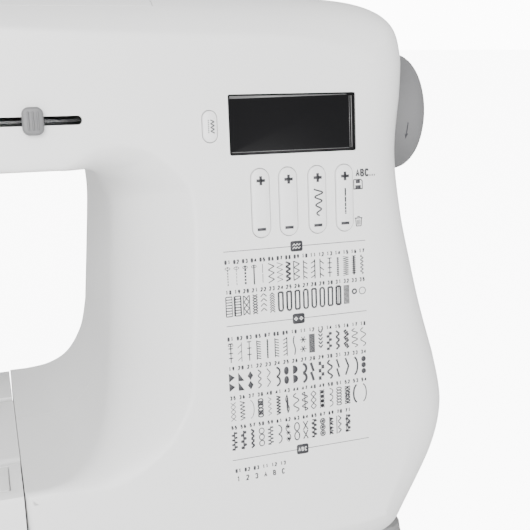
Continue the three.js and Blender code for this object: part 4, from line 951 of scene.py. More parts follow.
class MACHINE_OT_keys(bpy.types.Operator):
    """Rocker keys, mode key, head buttons, speed slider and tension dial"""
    bl_idname = "machine.keys"
    bl_label = "Keys and controls"

    def execute(self, context):
        proud, edge = shape_setting("key_proud"), shape_setting("key_edge")
        for k, x in enumerate(ROCKER_X, 1):
            key_piece(f"rocker_key_{k}", ROCKER["width"], ROCKER["height"], ROCKER["width"] / 2 - 0.01,
                      (x, ROCKER_Y), proud, edge, f"rocker_{k}", f"rocker_{k}")
        key_piece("mode_key", MODE["width"], MODE["height"], MODE["width"] / 2 - 0.01, MODE["centre"],
                  proud, edge, "stitch_mode_button", "stitch_mode_button")
        for node, (x, z, width, height) in HEAD_KEYS.items():
            key_piece(f"{node}_cap", width, height, 3.6, face_spot(x, z), proud, edge, node, node)
        self.make_slider()
        self.make_dial()
        return {"FINISHED"}

    def make_slider(self):
        x, z, _ = SLIDER
        centre = face_spot(x, z)
        knob = raised(lambda g: rounded_rect(9, 12, 3, centre, g),
                      [(-0.4, 0.4), (0, 0.8)] + soft_edge(1, 4.2, 1.2), on_panel)
        neck = raised(lambda g: rounded_rect(5, 3, 1, centre, g), [(0, -8), (0, 0.6)], on_panel)
        ribs = [raised(lambda g, d=d: rounded_rect(0.8, 8, 0.35, (centre[0] + d, centre[1]), g),
                       [(0, 4.0), (0, 4.6), (-0.25, 4.9)], on_panel) for d in (-2, 0, 2)]
        add_piece("slider_knob", joined([knob, neck, *ribs]), "grey", "speed_slider", "grey_plastic",
                  "speed_slider")

    def make_dial(self):
        low, high = corners("tension_dial")
        centre = (low + high) / 2
        half, radius = (high[0] - low[0]) / 2, (high[2] - low[2]) / 2
        around, notches = 180, 36
        angle = np.arange(around) * 2 * math.pi / around
        wave = 0.35 * (0.5 - 0.5 * np.cos(notches * angle))
        rows = [(-half, radius - 5, 0), (-half, radius - 1.2, 0), (-half + 1, radius, 1),
                (half - 1, radius, 1), (half, radius - 1.2, 0), (half, radius - 5, 0)]
        rings = [np.column_stack([np.full(around, s), (r - wave * m) * np.cos(angle),
                                  (r - wave * m) * np.sin(angle)])
                 for s, r, m in rows]
        faces = [f[::-1] for f in ring_faces(len(rows), around)]
        faces += [list(range(around)), [(len(rows) - 1) * around + k for k in range(around)][::-1]]
        add_piece("tension_wheel", (np.concatenate(rings) + centre, faces), "grey", "tension_dial",
                  "grey_plastic", "tension_dial")


class MACHINE_OT_window(bpy.types.Operator):
    """Display window with its lens, the thin bezel round it and grey strips of painted reflection inside
    it
    """
    bl_idname = "machine.window"
    bl_label = "Display window"

    def execute(self, context):
        shape = lambda grow: rounded_rect(WINDOW["width"], WINDOW["height"], WINDOW["radius"],
                                          WINDOW["centre"], grow)
        rows = [(0, -3.2), (0, -0.9), (-0.25, -0.65), (-1.4, -0.6)]
        add_piece("window_lens", raised(shape, rows, on_panel), "lens", "machine", "display_window",
                  "display_lens")
        rows = [(0.1 + 0.55 - 0.55 * math.cos(a), 0.02 + 0.18 * math.sin(a))
                for a in np.linspace(0, math.pi, 9)]
        rows = rows[::-1] + [(0.1, -0.8)]
        add_piece("window_bezel", raised(shape, rows, on_panel, False, False), "key", "machine",
                  "white_shell")
        self.make_painted_reflections()
        return {"FINISHED"}

    def make_painted_reflections(self):
        """Grey strips of painted reflection inside the window, wider at its top and right."""
        x0, x1 = WINDOW["centre"][0] - WINDOW["width"] / 2, WINDOW["centre"][0] + WINDOW["width"] / 2
        y0, y1 = WINDOW["centre"][1] - WINDOW["height"] / 2, WINDOW["centre"][1] + WINDOW["height"] / 2
        top = [solid([(x0 + 0.9, y1 - 1.9), (x1 - 4.4, y1 - 1.0), (x1 - 4.4, y1 - 0.6),
                      (x0 + 0.9, y1 - 0.6)])]
        right = [stroke([(x1 - 1.9, y0 + 1.4), (x1 - 1.9, y1 - 1.4)], 0.5),
                 stroke([(x1 - 3.0, y0 + 1.4), (x1 - 3.0, y1 - 1.4)], 0.25)]
        bottom = [stroke([(x0 + 0.9, y0 + 1.3), (x1 - 3.4, y0 + 1.3)], 0.3)]
        # these strips are painted reflection lines, in the grey of the edge finish
        inked("window_painted_reflections", top + right + bottom, -0.6, 0.05, "machine", "display_window", "edge")


# ------------------------------------------------------------------ printed marks
def stroke(points, width):
    """A flat ribbon of the given width along a polyline, mitred where it turns."""
    p = np.array(points, float)
    legs = np.diff(p, axis=0)
    legs /= np.maximum(1e-9, np.hypot(*legs.T))[:, None]
    turn = np.concatenate([legs[:1], legs]) + np.concatenate([legs, legs[-1:]])
    across = np.stack([-turn[:, 1], turn[:, 0]], -1) * (width / np.maximum(0.8, (turn ** 2).sum(1)))[:,
                                                                                                     None]
    n = len(p)
    vertices = np.concatenate([p - across, p + across])
    faces = [[k, k + 1, n + k + 1, n + k] for k in range(n - 1)]
    return vertices, faces


def solid(points):
    """One filled face inside the given outline."""
    return np.array(points, float), [list(range(len(points)))]


def arc_points(cx, cy, rx, ry, start=0, end=360, steps=14):
    """Points of an ellipse's arc: centre plus its half axes times cosine and sine."""
    angle = np.radians(np.linspace(start, end, steps))
    return np.stack([cx + rx * np.cos(angle), cy + ry * np.sin(angle)], -1)


PEN = 0.5        # width of a drawn stitch line
BOLD = 0.95      # width of a heavy one
HALF = 1.55      # half the width of a stitch drawing
TALL = 9.6       # height of a stitch drawing


def lines(points, pen=PEN):
    """Straight strokes from each point to the next."""
    return [stroke([a, b], pen) for a, b in zip(points[:-1], points[1:])]


def repeats(count, part):
    """The marks that part(top, step) draws, once for each of `count` equal steps down."""
    step = TALL / count
    return [mark for k in range(count) for mark in part(-k * step, step)]


def dashes(count=4, x=0.0, pen=PEN, share=0.68):
    """Short upright strokes, each a share of its step long."""
    return repeats(count, lambda y, step: [stroke([(x, y), (x, y - share * step)], pen)])


def spine(x=0.0, pen=PEN):
    """One upright stroke, as tall as the drawing."""
    return [stroke([(x, 0), (x, -TALL)], pen)]


def with_loop(marks):
    """A stitch drawing that starts with a small flat loop."""
    return marks + [stroke(arc_points(0, -0.9, 1.25, 0.6), 0.3)]


def zigzag(count=4, half=HALF, pen=PEN):
    """Strokes that swing from side to side at even steps down."""
    k = np.arange(2 * count + 1)
    return lines(np.stack([half * np.where(k % 2, 1, -1), -k * TALL / (2 * count)], -1), pen)


def ladder(count=7, pen=PEN):
    """Two uprights with rungs between them."""
    sides = spine(-HALF, pen) + spine(HALF, pen * 0.7)
    rungs = repeats(count, lambda y, step: [stroke([(-HALF, y), (HALF, y)], PEN)])
    return sides + rungs + [stroke([(-HALF, -TALL), (HALF, -TALL)], PEN)]


def comb(count=6, side=1, pen=PEN):
    """An upright with slanting teeth to one side."""
    return spine(-side * HALF * 0.5, pen) + repeats(count, lambda y, step: [
        stroke([(-side * HALF * 0.5, y - 0.3 * step), (side * HALF * 0.8, y - 0.8 * step)], pen)])


def tee(count=3):
    """An upright with short level bars across it."""
    return spine() + repeats(count, lambda y,
                             step: [stroke([(-HALF * 0.7, y - 0.1), (HALF * 0.7, y - 0.1)], PEN)])


def stars(count=2):
    """Three strokes crossing at 60 degrees, in each step."""
    def star(y, step):
        turns = np.radians([0, 60, 120])
        reach = step * 0.36
        return [stroke([(-reach * math.cos(a), y - step / 2 - reach * math.sin(a)),
                        (reach * math.cos(a), y - step / 2 + reach * math.sin(a))], PEN) for a in turns]
    return repeats(count, star)


def chevrons(count=4, half=HALF, pen=PEN, lean=1.4):
    """Upright arrowheads: down from each side to the middle."""
    return repeats(count, lambda y, step: lines([(-half, y - lean), (0, y), (half, y - lean)], pen))


def arrows(count=2, pen=BOLD):
    """Sideways chevrons, one above the other."""
    return repeats(count, lambda y, step: lines(
        [(-HALF * 0.5, y), (HALF * 0.6, y - step * 0.46), (-HALF * 0.5, y - step * 0.92)], pen))


def crosses(count=5, pen=PEN):
    """Two crossing diagonals in each step."""
    def cross(y, step):
        d, middle = step * 0.46, y - step / 2
        return [stroke([(-HALF * 0.8, middle - d), (HALF * 0.8, middle + d)], pen),
                stroke([(-HALF * 0.8, middle + d), (HALF * 0.8, middle - d)], pen)]
    return repeats(count, cross)


def wave(count=3, half=HALF, pen=PEN):
    """A sine curve down the drawing."""
    y = -np.linspace(0, TALL, 12 * count)
    return [stroke(np.stack([half * np.sin(y * 2 * math.pi * count / TALL), y], -1), pen)]


def bows(count=2, pen=BOLD, side=1):
    """Arcs bulging to one side."""
    def bow(y, step):
        return [stroke(arc_points(-side * HALF * 0.6, y - step / 2, side * HALF * 1.4, step * 0.49, -80,
                                  80), pen)]
    return repeats(count, bow)


def wedges(count=2, side=1, low=0.5):
    """Filled triangles on one side, in each step."""
    return repeats(count, lambda y, step: [solid(
        [(-side * HALF, y), (side * HALF, y - low * step), (-side * HALF, y - 0.94 * step)])])


def diamonds(count=2, filled=True, half=HALF * 0.95):
    """Four-cornered shapes on their points, filled or drawn."""
    def diamond(y, step):
        middle, d = y - step / 2, step * 0.47
        points = [(0, middle - d), (half, middle), (0, middle + d), (-half, middle)]
        return [solid(points)] if filled else lines(points + points[:1])
    return repeats(count, diamond)


def ovals(count=2, filled=True, pen=PEN, half=HALF * 0.85, x=0.0):
    """Ellipses one above the other, filled or drawn."""
    def oval(y, step):
        points = arc_points(x, y - step / 2, half, step * 0.45)
        return [solid(points[:-1])] if filled else [stroke(points, pen)]
    return repeats(count, oval)


def half_discs(count=2, side=1):
    """Half ellipses with the flat side on one side."""
    return repeats(count, lambda y, step: [solid(arc_points(
        -side * HALF * 0.8, y - step / 2, side * HALF * 1.7, step * 0.46, -90, 90))])


def leaves(count=4, pen=PEN * 0.8):
    """Small filled ellipses by turns left and right of a stem."""
    def leaf(y, step):
        return [solid(arc_points(side * HALF * 0.5, y - step * (0.3 if side > 0 else 0.75), HALF * 0.5,
                                 step * 0.24)[:-1])
                for side in (-1, 1)]
    return repeats(count, leaf) + spine(0, pen)


def checks(count=5):
    """Filled rectangles by turns left and right."""
    return [solid(rounded_rect(HALF, TALL / count, 0.05,
                               (HALF * (0.5 if k % 2 else -0.5), -(k + 0.5) * TALL / count), 0, 2))
            for k in range(count)]


def slashes(count=2, pen=BOLD):
    """Slanting strokes one above the other."""
    return repeats(count, lambda y, step: lines([(-HALF * 0.6, y), (HALF * 0.3, y - step * 0.95)], pen))


def buttonhole(top=False, bottom=True, pen=BOLD, core=False):
    """A closed slot outline whose ends are round or square."""
    w = HALF * 0.72
    upper = arc_points(0, -w, w, w, 0, 180, 9) if top else np.array([(w, -0.2), (-w, -0.2)])
    lower = arc_points(0, -TALL + w, w, w, 180, 360,
                       9) if bottom else np.array([(-w, -TALL + 0.2), (w, -TALL + 0.2)])
    loop = np.concatenate([upper, lower, upper[:1]])
    return lines(loop, pen) + (spine(0, PEN * 0.7) if core else [])


def hatch(count=13, half=HALF):
    """Close level strokes."""
    return repeats(count, lambda y, step: [stroke([(-half, y - step / 2), (half, y - step / 2)], 0.5)])


def eyelet(radius, pen):
    """One drawn circle."""
    return [stroke(arc_points(0, -3.6, radius, radius, 0, 360, 20), pen)]


UTILITY_TOP = [
    with_loop(dashes(7)), with_loop(dashes(6, 0, 0.3)), with_loop(dashes(6, 0, BOLD)),
               with_loop(spine(0, 0.7)),
    dashes(2, 0, 0.35, 0.9), zigzag(3), zigzag(4, HALF, 0.32), zigzag(4, HALF * 0.8, BOLD),
    zigzag(3) + spine(-HALF), comb(4), comb(4, -1) + spine(HALF * 0.6, 0.3), comb(3), tee(4),
    ovals(10, True, 0, HALF * 0.4), zigzag(9, HALF, 0.34), spine(0, BOLD) + tee(9),
               wave(5, HALF * 0.45, 0.5)]
UTILITY_LOW = [
    ladder(7), ladder(7, BOLD), crosses(3) + spine(-HALF) + spine(HALF), crosses(7), chevrons(4),
               chevrons(8, HALF * 0.8),
    buttonhole(), buttonhole(False, True, 1.0), buttonhole(False, False), buttonhole(True), buttonhole(),
    buttonhole(True), buttonhole(False, False), buttonhole(False, False, 1.1, True), hatch(15),
               eyelet(1.1, 0.85),
    eyelet(1.75, 0.4)]
FANCY_ROWS = [
    [with_loop(tee(4)), comb(3, -1, 0.35), tee(3), comb(8, 1, 0.5), ovals(12, True, 0, 0.5) + spine(),
     comb(7),
     comb(5, -1), wave(1, HALF * 0.3, 0.6), stars(2), hatch(17), chevrons(5, HALF * 0.7, 0.7, -1.4),
     leaves(3),
     zigzag(3, HALF * 0.6, BOLD), wave(3, HALF * 0.8, 0.7) + wave(6, HALF * 0.5), wave(3),
     wave(2, HALF * 0.9)],
    [wedges(2), wedges(2, 1, 0.94), diamonds(2), arrows(3, 0.6), arrows(2, 0.5), bows(2), ovals(2),
     half_discs(2),
     bows(2, 1.3), slashes(2, 1.3), checks(5), wave(2, HALF * 0.75, BOLD), slashes(2), arrows(1), bows(1),
     ovals(3)],
    [crosses(4, 0.34), zigzag(5, HALF * 0.8, 0.5), bows(1, 0.34), ovals(6, False) + ovals(4, False),
     arrows(4, 0.34),
     zigzag(6, HALF * 0.7, 0.7), wave(1, HALF * 0.6, 0.5) + ovals(1, True, 0, 0.6),
     wave(2, HALF * 0.9, 0.6),
     wave(3, HALF * 0.9, 0.6) + spine(), diamonds(3, False), diamonds(4) + crosses(4), bows(3, 0.5),
     ovals(6, False, 0.5), hatch(11) + crosses(5), bows(1, BOLD, -1), bows(1, 0.6)],
    [leaves(4, 0.6), leaves(3, 0.7), zigzag(4, HALF * 0.5, BOLD), ovals(3, False, 0.5), leaves(5),
     bows(2, 0.6),
     wave(1, HALF * 0.8, 0.5) + stars(3), ovals(2, False, 0.6), crosses(2, 0.6), leaves(4) + tee(4),
     ovals(3, False, 0.5) + stars(3), comb(6, 1, 0.6) + stars(4), arrows(3, 0.6) + spine(-HALF),
     leaves(3) + comb(5)],
]
UTILITY_NAMES = [f"{k:02d}" for k in range(1, 18)], [f"{k}" for k in [*range(18, 34), 35]]
FANCY_NAMES = [[f"{k:02d}" for k in row] for row in (
    (1, 2, 3, 5, *range(7, 19)), range(19, 35), (35, 36, 37, 38, 40, 41, 43, 44, *range(47, 55)),
    (*range(55, 60), *range(61, 66), 67, 69, 70, 71))]


def moved(marks, dx, dy):
    """The same marks at another place."""
    return [(vertices + (dx, dy), faces) for vertices, faces in marks]


SIGNS = {
    "0": [[(0, .2), (.2, 0), (.8, 0), (1, .2), (1, .8), (.8, 1), (.2, 1), (0, .8), (0, .2)]],
    "1": [[(.15, .78), (.55, 1), (.55, 0)]],
    "2": [[(0, .8), (.2, 1), (.8, 1), (1, .8), (1, .6), (0, 0), (1, 0)]],
    "3": [[(0, .85), (.2, 1), (.8, 1), (1, .78), (.8, .53), (1, .25), (.8, 0), (.2, 0), (0, .15)]],
    "4": [[(.75, 0), (.75, 1)], [(.75, 1), (0, .3), (1, .3)]],
    "5": [[(1, 1), (.1, 1), (.05, .55), (.7, .6), (1, .35), (.8, .05), (.3, 0), (0, .12)]],
    "6": [[(.85, 1), (.3, .9), (0, .4), (.1, .1), (.4, 0), (.8, .05), (1, .3), (.8, .55), (.4, .58),
           (.05, .35)]],
    "7": [[(0, 1), (1, 1), (.4, 0)]],
    "8": [[(.5, .53), (.1, .72), (.25, 1), (.75, 1), (.9, .72), (.5, .53)],
          [(.5, .53), (0, .28), (.2, 0), (.8, 0), (1, .28), (.5, .53)]],
    "9": [[(.15, 0), (.7, .1), (1, .6), (.9, .9), (.6, 1), (.2, .95), (0, .7), (.2, .45), (.6, .42),
           (.95, .65)]],
    "A": [[(0, 0), (.5, 1), (1, 0)], [(.2, .35), (.8, .35)]],
    "B": [[(0, 0), (0, 1), (.7, 1), (.92, .78), (.7, .53), (0, .53)],
          [(.7, .53), (1, .28), (.8, 0), (0, 0)]],
    "C": [[(1, .8), (.75, 1), (.25, 1), (0, .75), (0, .25), (.25, 0), (.75, 0), (1, .2)]],
    ".": [[(.3, .05), (.6, .05)]]}


class Letters:
    """Numbers and letters drawn as strokes, each inside a box as high as the line."""

    def __init__(self, pen):
        self.pen = pen

    def word(self, text, centre, height, spacing=1.0):
        """The text's strokes, centred, with narrow steps for dots."""
        size = np.array([0.58 * height, height]) - self.pen
        steps = np.array([0.4 if character == "." else 0.82 for character in text]) * height * spacing
        places = centre[0] + np.cumsum(steps) - steps / 2 - steps.sum() / 2
        marks = []
        for x, character in zip(places, text):
            corner = np.array([x, centre[1]]) - size / 2
            marks += [stroke(np.array(line) * size + corner, self.pen) for line in SIGNS[character]]
        return marks


RULE_Y = (1.9, -34.3, -102.2)   # heights of the three rules, each with a chip on it
CHIP_X = 0.9


def rules():
    """Three thin rules across the panel."""
    return [stroke([(-36.3, y), (38.1, y)], 0.3) for y in RULE_Y]



def chips():
    """A small rounded rectangle in the middle of each rule."""
    return [solid(rounded_rect(6.4, 5.2, 1.0, (CHIP_X, y), 0, 5)) for y in RULE_Y]


def chart(bold, plain):
    """All numbers and stitch drawings of the printed chart."""
    marks = []
    small = 2.1

    def row(names, drawings, x0, x1, number_y, gap=2.2):
        for name, drawing, x in zip(names, drawings, np.linspace(x0, x1, len(names))):
            marks.extend(bold.word(name, (x, number_y), small))
            marks.extend(moved(drawing, x, number_y - gap))

    row(UTILITY_NAMES[0], UTILITY_TOP, -34.6, 35.9, -3.2)
    row(UTILITY_NAMES[1], UTILITY_LOW, -34.6, 35.9, -17.8)
    for names, y, drawings in zip(FANCY_NAMES, (-40.7, -55.5, -70.3, -85.4), FANCY_ROWS):
        row(names, drawings, -34.8, 35.9 if len(names) == 16 else 26.4, y)
    for k, (number, sign) in enumerate(zip(("01", "02", "03", "11", "12", "13"), "123ABC")):
        x = -33.7 + 4.75 * k
        marks.extend(bold.word(number, (x, -107.9), small))
        marks.extend(plain.word(sign, (x, -112.2), 2.9))
    marks.extend(Letters(0.85).word("ABC...", (38.8, 35.8), 3.9, 0.78))
    return marks


def icons():
    """Storage and delete signs beside the last rocker key."""
    x, y, w = 34.6, 30.2, 2.3
    rim = [(-w, w), (w - 0.8, w), (w, w - 0.8), (w, -w), (-w, -w), (-w, w)]
    disk = [stroke(np.array(rim) + (x, y), 0.5),
            solid([(x - 1.2, y + 0.5), (x + 1.1, y + 0.5), (x + 1.1, y + w), (x - 1.2, y + w)]),
            solid([(x - 1.5, y - w), (x + 1.5, y - w), (x + 1.5, y - 0.5), (x - 1.5, y - 0.5)])]
    y = 11.8
    sides = [(-1.6, 1.4, -1.3, -2.4, 0.45), (-1.3, -2.4, 1.3, -2.4, 0.45), (1.3, -2.4, 1.6, 1.4, 0.45),
             (-2.1, 1.6, 2.1, 1.6, 0.5), (-0.7, 2.3, 0.7, 2.3, 0.45)]
    sides += [(d, 0.8, d * 0.9, -1.8, 0.35) for d in (-0.7, 0, 0.7)]
    bin_sides = [stroke([(x + a, y + b), (x + c, y + d)], pen) for a, b, c, d, pen in sides]
    return disk + bin_sides


def inked(name, marks, height, thickness, body, slot, ink="ink"):
    """Turns flat marks into one thin printed piece on the face, with a top and side walls."""
    points, faces = joined(marks)
    rows = np.column_stack([points, np.full(len(points), height + thickness)])
    made = make_object(name, on_panel(rows), faces, material(ink))
    wall = made.modifiers.new("Ink body", "SOLIDIFY")
    wall.thickness = thickness * MM
    wall.offset = -1
    recalculate_towards(made, Vector(OUT_OF_FACE))
    return finish_piece(made, body, slot)


def recalculate_towards(obj, direction):
    """Flips the flat marks whose faces look into the panel."""
    work = bmesh.new()
    work.from_mesh(obj.data)
    work.normal_update()
    bmesh.ops.reverse_faces(work, faces=[f for f in work.faces if f.normal.dot(direction) < 0])
    work.to_mesh(obj.data)
    work.free()


class MACHINE_OT_print(bpy.types.Operator):
    """Printed stitch chart, rules, chips, icons and the signs on the keys"""
    bl_idname = "machine.print"
    bl_label = "Printed marks"

    def execute(self, context):
        bold, plain = Letters(0.62), Letters(0.6)
        thin = shape_setting("ink_height")
        proud = shape_setting("key_proud")
        inked("stitch_chart", chart(bold, plain) + rules() + icons(), 0.0, thin, "machine", "dark_base")
        inked("chart_chips", chips(), 0.03, thin, "machine", "dark_base")
        inked("chip_signs", self.chip_signs(), 0.1, thin, "machine", "white_keys", "key")
        for k, x in enumerate(ROCKER_X, 1):
            plus, minus, half, pen = ROCKER_Y + 10.8, ROCKER_Y - 12.4, 2.15, 1.4
            marks = [stroke([(x - half, plus), (x + half, plus)], pen),
                     stroke([(x, plus - half), (x, plus + half)], pen),
                     stroke([(x - half - 0.3, minus), (x + half - 0.3, minus)], pen)]
            marks += self.rocker_drawing(k, x)
            inked(f"rocker_signs_{k}", marks, proud - 0.05, thin, f"rocker_{k}", "dark_base")
        cx, cy = MODE["centre"]
        ends = [(cx + (1.9 if j % 2 else 0.1), cy + 3.0 - 0.85 * j) for j in range(8)]
        zig = [stroke([a, b], 0.5) for a, b in zip(ends, ends[1:])]
        zig += [stroke([(cx - 0.9, cy + 3.0 - 0.9 * j), (cx - 0.9, cy + 2.5 - 0.9 * j)], 0.5)
                for j in range(7)]
        inked("mode_signs", zig, proud - 0.05, thin, "stitch_mode_button", "dark_base")
        return {"FINISHED"}

    def rocker_drawing(self, k, x):
        """Stitch width on the third rocker and stitch length on the fourth."""
        if k == 3:
            t = np.linspace(0, 1, 70)
            swing = (2.3 - 1.3 * t) * -np.cos(t * 2 * math.pi * 3.3)
            return [stroke(np.stack([x + 0.2 + swing, ROCKER_Y + 5.4 - 13.2 * t], -1), 0.75)]
        if k == 4:
            lengths = [(4.9, 1.0), (0.7, -1.9), (-2.2, -4.1), (-4.4, -5.7), (-6.0, -6.9), (-7.2, -7.8)]
            return [stroke([(x, ROCKER_Y + a), (x, ROCKER_Y + b)], 0.8) for a, b in lengths]
        return []

    def chip_signs(self):
        """Two zigzags on the first chip, two flowers on the second and three letters on the third."""
        x = CHIP_X
        marks = [stroke([(x - 2 + 0.8 * j, RULE_Y[0] + dy + (0.45 if j % 2 else -0.45)),
                         (x - 1.2 + 0.8 * j, RULE_Y[0] + dy + (-0.45 if j % 2 else 0.45))], 0.3)
                 for j in range(5) for dy in (-0.8, 0.8)]
        for dx in (-1.4, 1.4):
            for turn in range(4):
                angle = turn * math.pi / 2
                marks.append(solid(arc_points(x + dx + 0.6 * math.cos(angle),
                                              RULE_Y[1] + 0.6 * math.sin(angle),
                                              0.42, 0.42, 0, 360, 8)[:-1]))
        return marks + Letters(0.36).word("ABC", (x, RULE_Y[2]), 2.1)


# ------------------------------------------------------------------ wheel, handle and top fittings
class MACHINE_OT_wheel(bpy.types.Operator):
    """Handwheel with a rounded rim, a shallow dish and a turning arrow"""
    bl_idname = "machine.wheel"
    bl_label = "Handwheel"

    def execute(self, context):
        radius = (WHEEL_HIGH[2] - WHEEL_LOW[2]) / 2
        back = RIGHT - 24
        angle = np.linspace(0, math.pi / 2, 8)
        rows = [(0.01, RIGHT - 10), (4.4, RIGHT - 10), (4.4, back - 12), (11, back - 12), (11, back + 1),
                (radius - 4, back + 1)]
        rows += [(radius - 3 + 3 * math.sin(a), back + 4 - 3 * math.cos(a)) for a in angle]
        dome = 7.5
        rows += [(radius, RIGHT - dome - 2)]
        rows += [(radius - dome + dome * math.cos(a), RIGHT - dome + dome * math.sin(a)) for a in angle]
        rows += [(20, RIGHT - 0.4), (17, RIGHT - 0.9), (14, RIGHT - 1), (0.01, RIGHT - 1)]
        wheel = make_object("wheel_rim", *turned(rows, "x", (0, SHAFT_Y, SHAFT_Z), 128), material("grey"))
        wheel.data.set_sharp_from_angle(angle=math.radians(40))
        finish_piece(wheel, "main_drive", "grey_plastic", "handwheel")
        self.make_arrow(radius)
        return {"FINISHED"}

    def make_arrow(self, radius):
        """A thin arrow that follows the rim at the side towards the user."""
        shaft = np.linspace(-0.13, 0.08, 10)
        x0 = RIGHT - 13
        out = radius + 0.03
        middle = math.radians(193)
        strip = []
        for half in (-0.35, 0.35):
            a = middle + shaft
            strip.append(np.column_stack([np.full(10, x0 + half), SHAFT_Y + out * np.cos(a),
                                          SHAFT_Z + out * np.sin(a)]))
        vertices = np.concatenate(strip)
        faces = [[k, k + 1, 10 + k + 1, 10 + k] for k in range(9)]
        tip = [(x0 - 1.1, 0.06), (x0 + 1.1, 0.06), (x0, 0.15)]
        head = np.array([(x, SHAFT_Y + out * math.cos(middle + d), SHAFT_Z + out * math.sin(middle + d))
                         for x, d in tip])
        parts = joined([(vertices, faces), (head, [[0, 1, 2]])])
        arrow = make_object("wheel_arrow", *parts, material("ink"))
        wall = arrow.modifiers.new("Ink body", "SOLIDIFY")
        wall.thickness = 0.05 * MM
        finish_piece(arrow, "main_drive", "dark_base")


class MACHINE_OT_fittings(bpy.types.Operator):
    """Carry handle, bobbin winder, stopper, spool pin and cap"""
    bl_idname = "machine.fittings"
    bl_label = "Handle and winder"

    def execute(self, context):
        self.make_handle()
        self.make_winder()
        self.make_spool_parts()
        return {"FINISHED"}

    def make_handle(self):
        low, high = corners("carry_handle")
        z0, z1 = low[2], high[2]
        outer = lambda grow: rounded_rect(high[0] - low[0], high[1] - low[1] + 16, 7,
                                          ((low[0] + high[0]) / 2, (low[1] + high[1]) / 2 - 8), grow, 10)
        body = make_object("handle_grip", *raised(outer, [(0, z0), (0, z1)], flat), material("shell"))
        inner = lambda grow: rounded_rect(high[0] - low[0] - 10, high[1] - low[1] + 36, 3,
                                          ((low[0] + high[0]) / 2, (low[1] + high[1]) / 2 - 28), grow, 8)
        cuts = [raised(inner, [(0, z0 - 5), (0, z1 + 5)], flat),
                block(low[0] - 5, high[0] + 5, low[1] - 60, low[1], z0 - 5, z1 + 5)]
        carve(body, cuts)
        soften(body, 1.4, 3)
        finish_piece(body, "carry_handle", "white_shell", "carry_handle")
        pivots = [turned([(1.5, x0), (1.5, x1)], "x", (0, low[1] + 3, CROWN_Z + 4.5), 20)
                  for x0, x1 in ((low[0] + 4, low[0] + 10), (high[0] - 10, high[0] - 4))]
        add_piece("handle_pivots", joined(pivots), "steel", "carry_handle", "polished_steel")

    def make_winder(self):
        x, y = WINDER_AXIS[:2]
        seat = CROWN_Z + 0.5
        rows = [(3.4, seat), (12.6, seat), (13, seat + 0.4), (12.6, seat + 1.6), (11.6, seat + 2.1),
                (9, seat + 2.2), (8, seat + 2.4), (3.4, seat + 2.4)]
        points, faces = turned(rows, "z", (x, y, 0), 64)
        faces = faces[:-2] + [[7 * 64 + k, 7 * 64 + (k + 1) % 64, (k + 1) % 64, k] for k in range(64)]
        add_piece("winder_seat", (points, faces), "key", "winder_plate", "white_keys", "winder_plate")
        rows = [(0.01, CROWN_Z - 20), (3, CROWN_Z - 20), (3, seat + 3), (5.6, seat + 3), (6, seat + 3.4),
                (6, seat + 4), (5.6, seat + 4.4), (2.9, seat + 4.6), (2.8, seat + 12.4),
                (2.4, seat + 13.4), (1.6, seat + 13.9), (0.01, seat + 14)]
        add_piece("winder_pin", turned(rows, "z", (x, y, 0), 40), "key", "winder_spindle", "white_keys",
                  "winder_spindle")
        low, high = corners("winder_stopper")
        x, y, _ = (low + high) / 2
        rows = [(0.01, low[2]), (4, low[2]), (4, high[2] - 1), (3.6, high[2] - 0.3), (2.8, high[2]),
                (0.01, high[2])]
        add_piece("winder_stop", turned(rows, "z", (x, y, 0), 40), "key", "machine", "white_keys",
                  "winder_stopper")

    def make_spool_parts(self):
        low, high = corners("spool_pin")
        centre = (low + high) / 2
        rows = [(0.01, low[0]), (2.2, low[0]), (3, low[0] + 1.2), (3, high[0] - 4), (9.4, high[0] - 4),
                (10, high[0] - 3.4), (10, high[0] - 1.6), (9.4, high[0] - 1), (3, high[0] - 1),
                (3, high[0]), (0.01, high[0])]
        add_piece("thread_pin", turned(rows, "x", (0, centre[1], centre[2]), 48), "key", "machine",
                  "white_keys", "spool_pin")
        low, high = corners("spool_cap")
        rows = [(3.4, low[0]), (11, low[0] + 1.6), (12, low[0] + 2.4), (12, high[0] - 2.4),
                (11, high[0] - 1.6), (3.4, high[0])]
        points, faces = turned(rows, "x", (0, centre[1], centre[2]), 48)
        faces = faces[:-2] + [[k, (k + 1) % 48, 5 * 48 + (k + 1) % 48, 5 * 48 + k] for k in range(48)]
        add_piece("thread_cap", (points, faces), "key", "spool_cap", "white_keys", "spool_cap")


# ------------------------------------------------------------------ nodes kept from the frame
KEPT = {
    "steel": ["main_shaft", "crank_disc", "motor_pulley", "lower_shaft", "rotary_hook", "feed_dog",
              "needle_bar", "needle_clamp", "needle", "presser_bar", "presser_foot", "take_up_lever"],
    "cast": ["arm_frame"],
    "rubber": ["drive_belt", "timing_belt"],
    "dark": ["drive_motor", "shaft_pulley", "socket_panel", "power_switch", "bobbin_holder"],
    "board": ["control_board"],
    "clear": ["bobbin", "lamp_lens"],
    "key": ["presser_lifter", "threader_lever", "buttonhole_lever", "feed_drop_lever"],
}


class MACHINE_OT_kept(bpy.types.Operator):
    """Gives every frame node that stays in view its finish"""
    bl_idname = "machine.kept"
    bl_label = "Mechanism finishes"

    def execute(self, context):
        for name, nodes in KEPT.items():
            for node in nodes:
                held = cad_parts[node].data.materials
                held.clear()
                held.append(material(name))
        return {"FINISHED"}


# ------------------------------------------------------------------ stage
CAMERA_YAW = math.radians(19.3)
CAMERA_PITCH = math.radians(15.2)
CAMERA_FROM_PANEL = (-140.7, -357.7, 96.8)
CAMERA_LENS = 55.1
SKY_STRENGTH = 0.98
BACKDROP_STRENGTH = 12.0
FLOOR_GLOW = 9.0


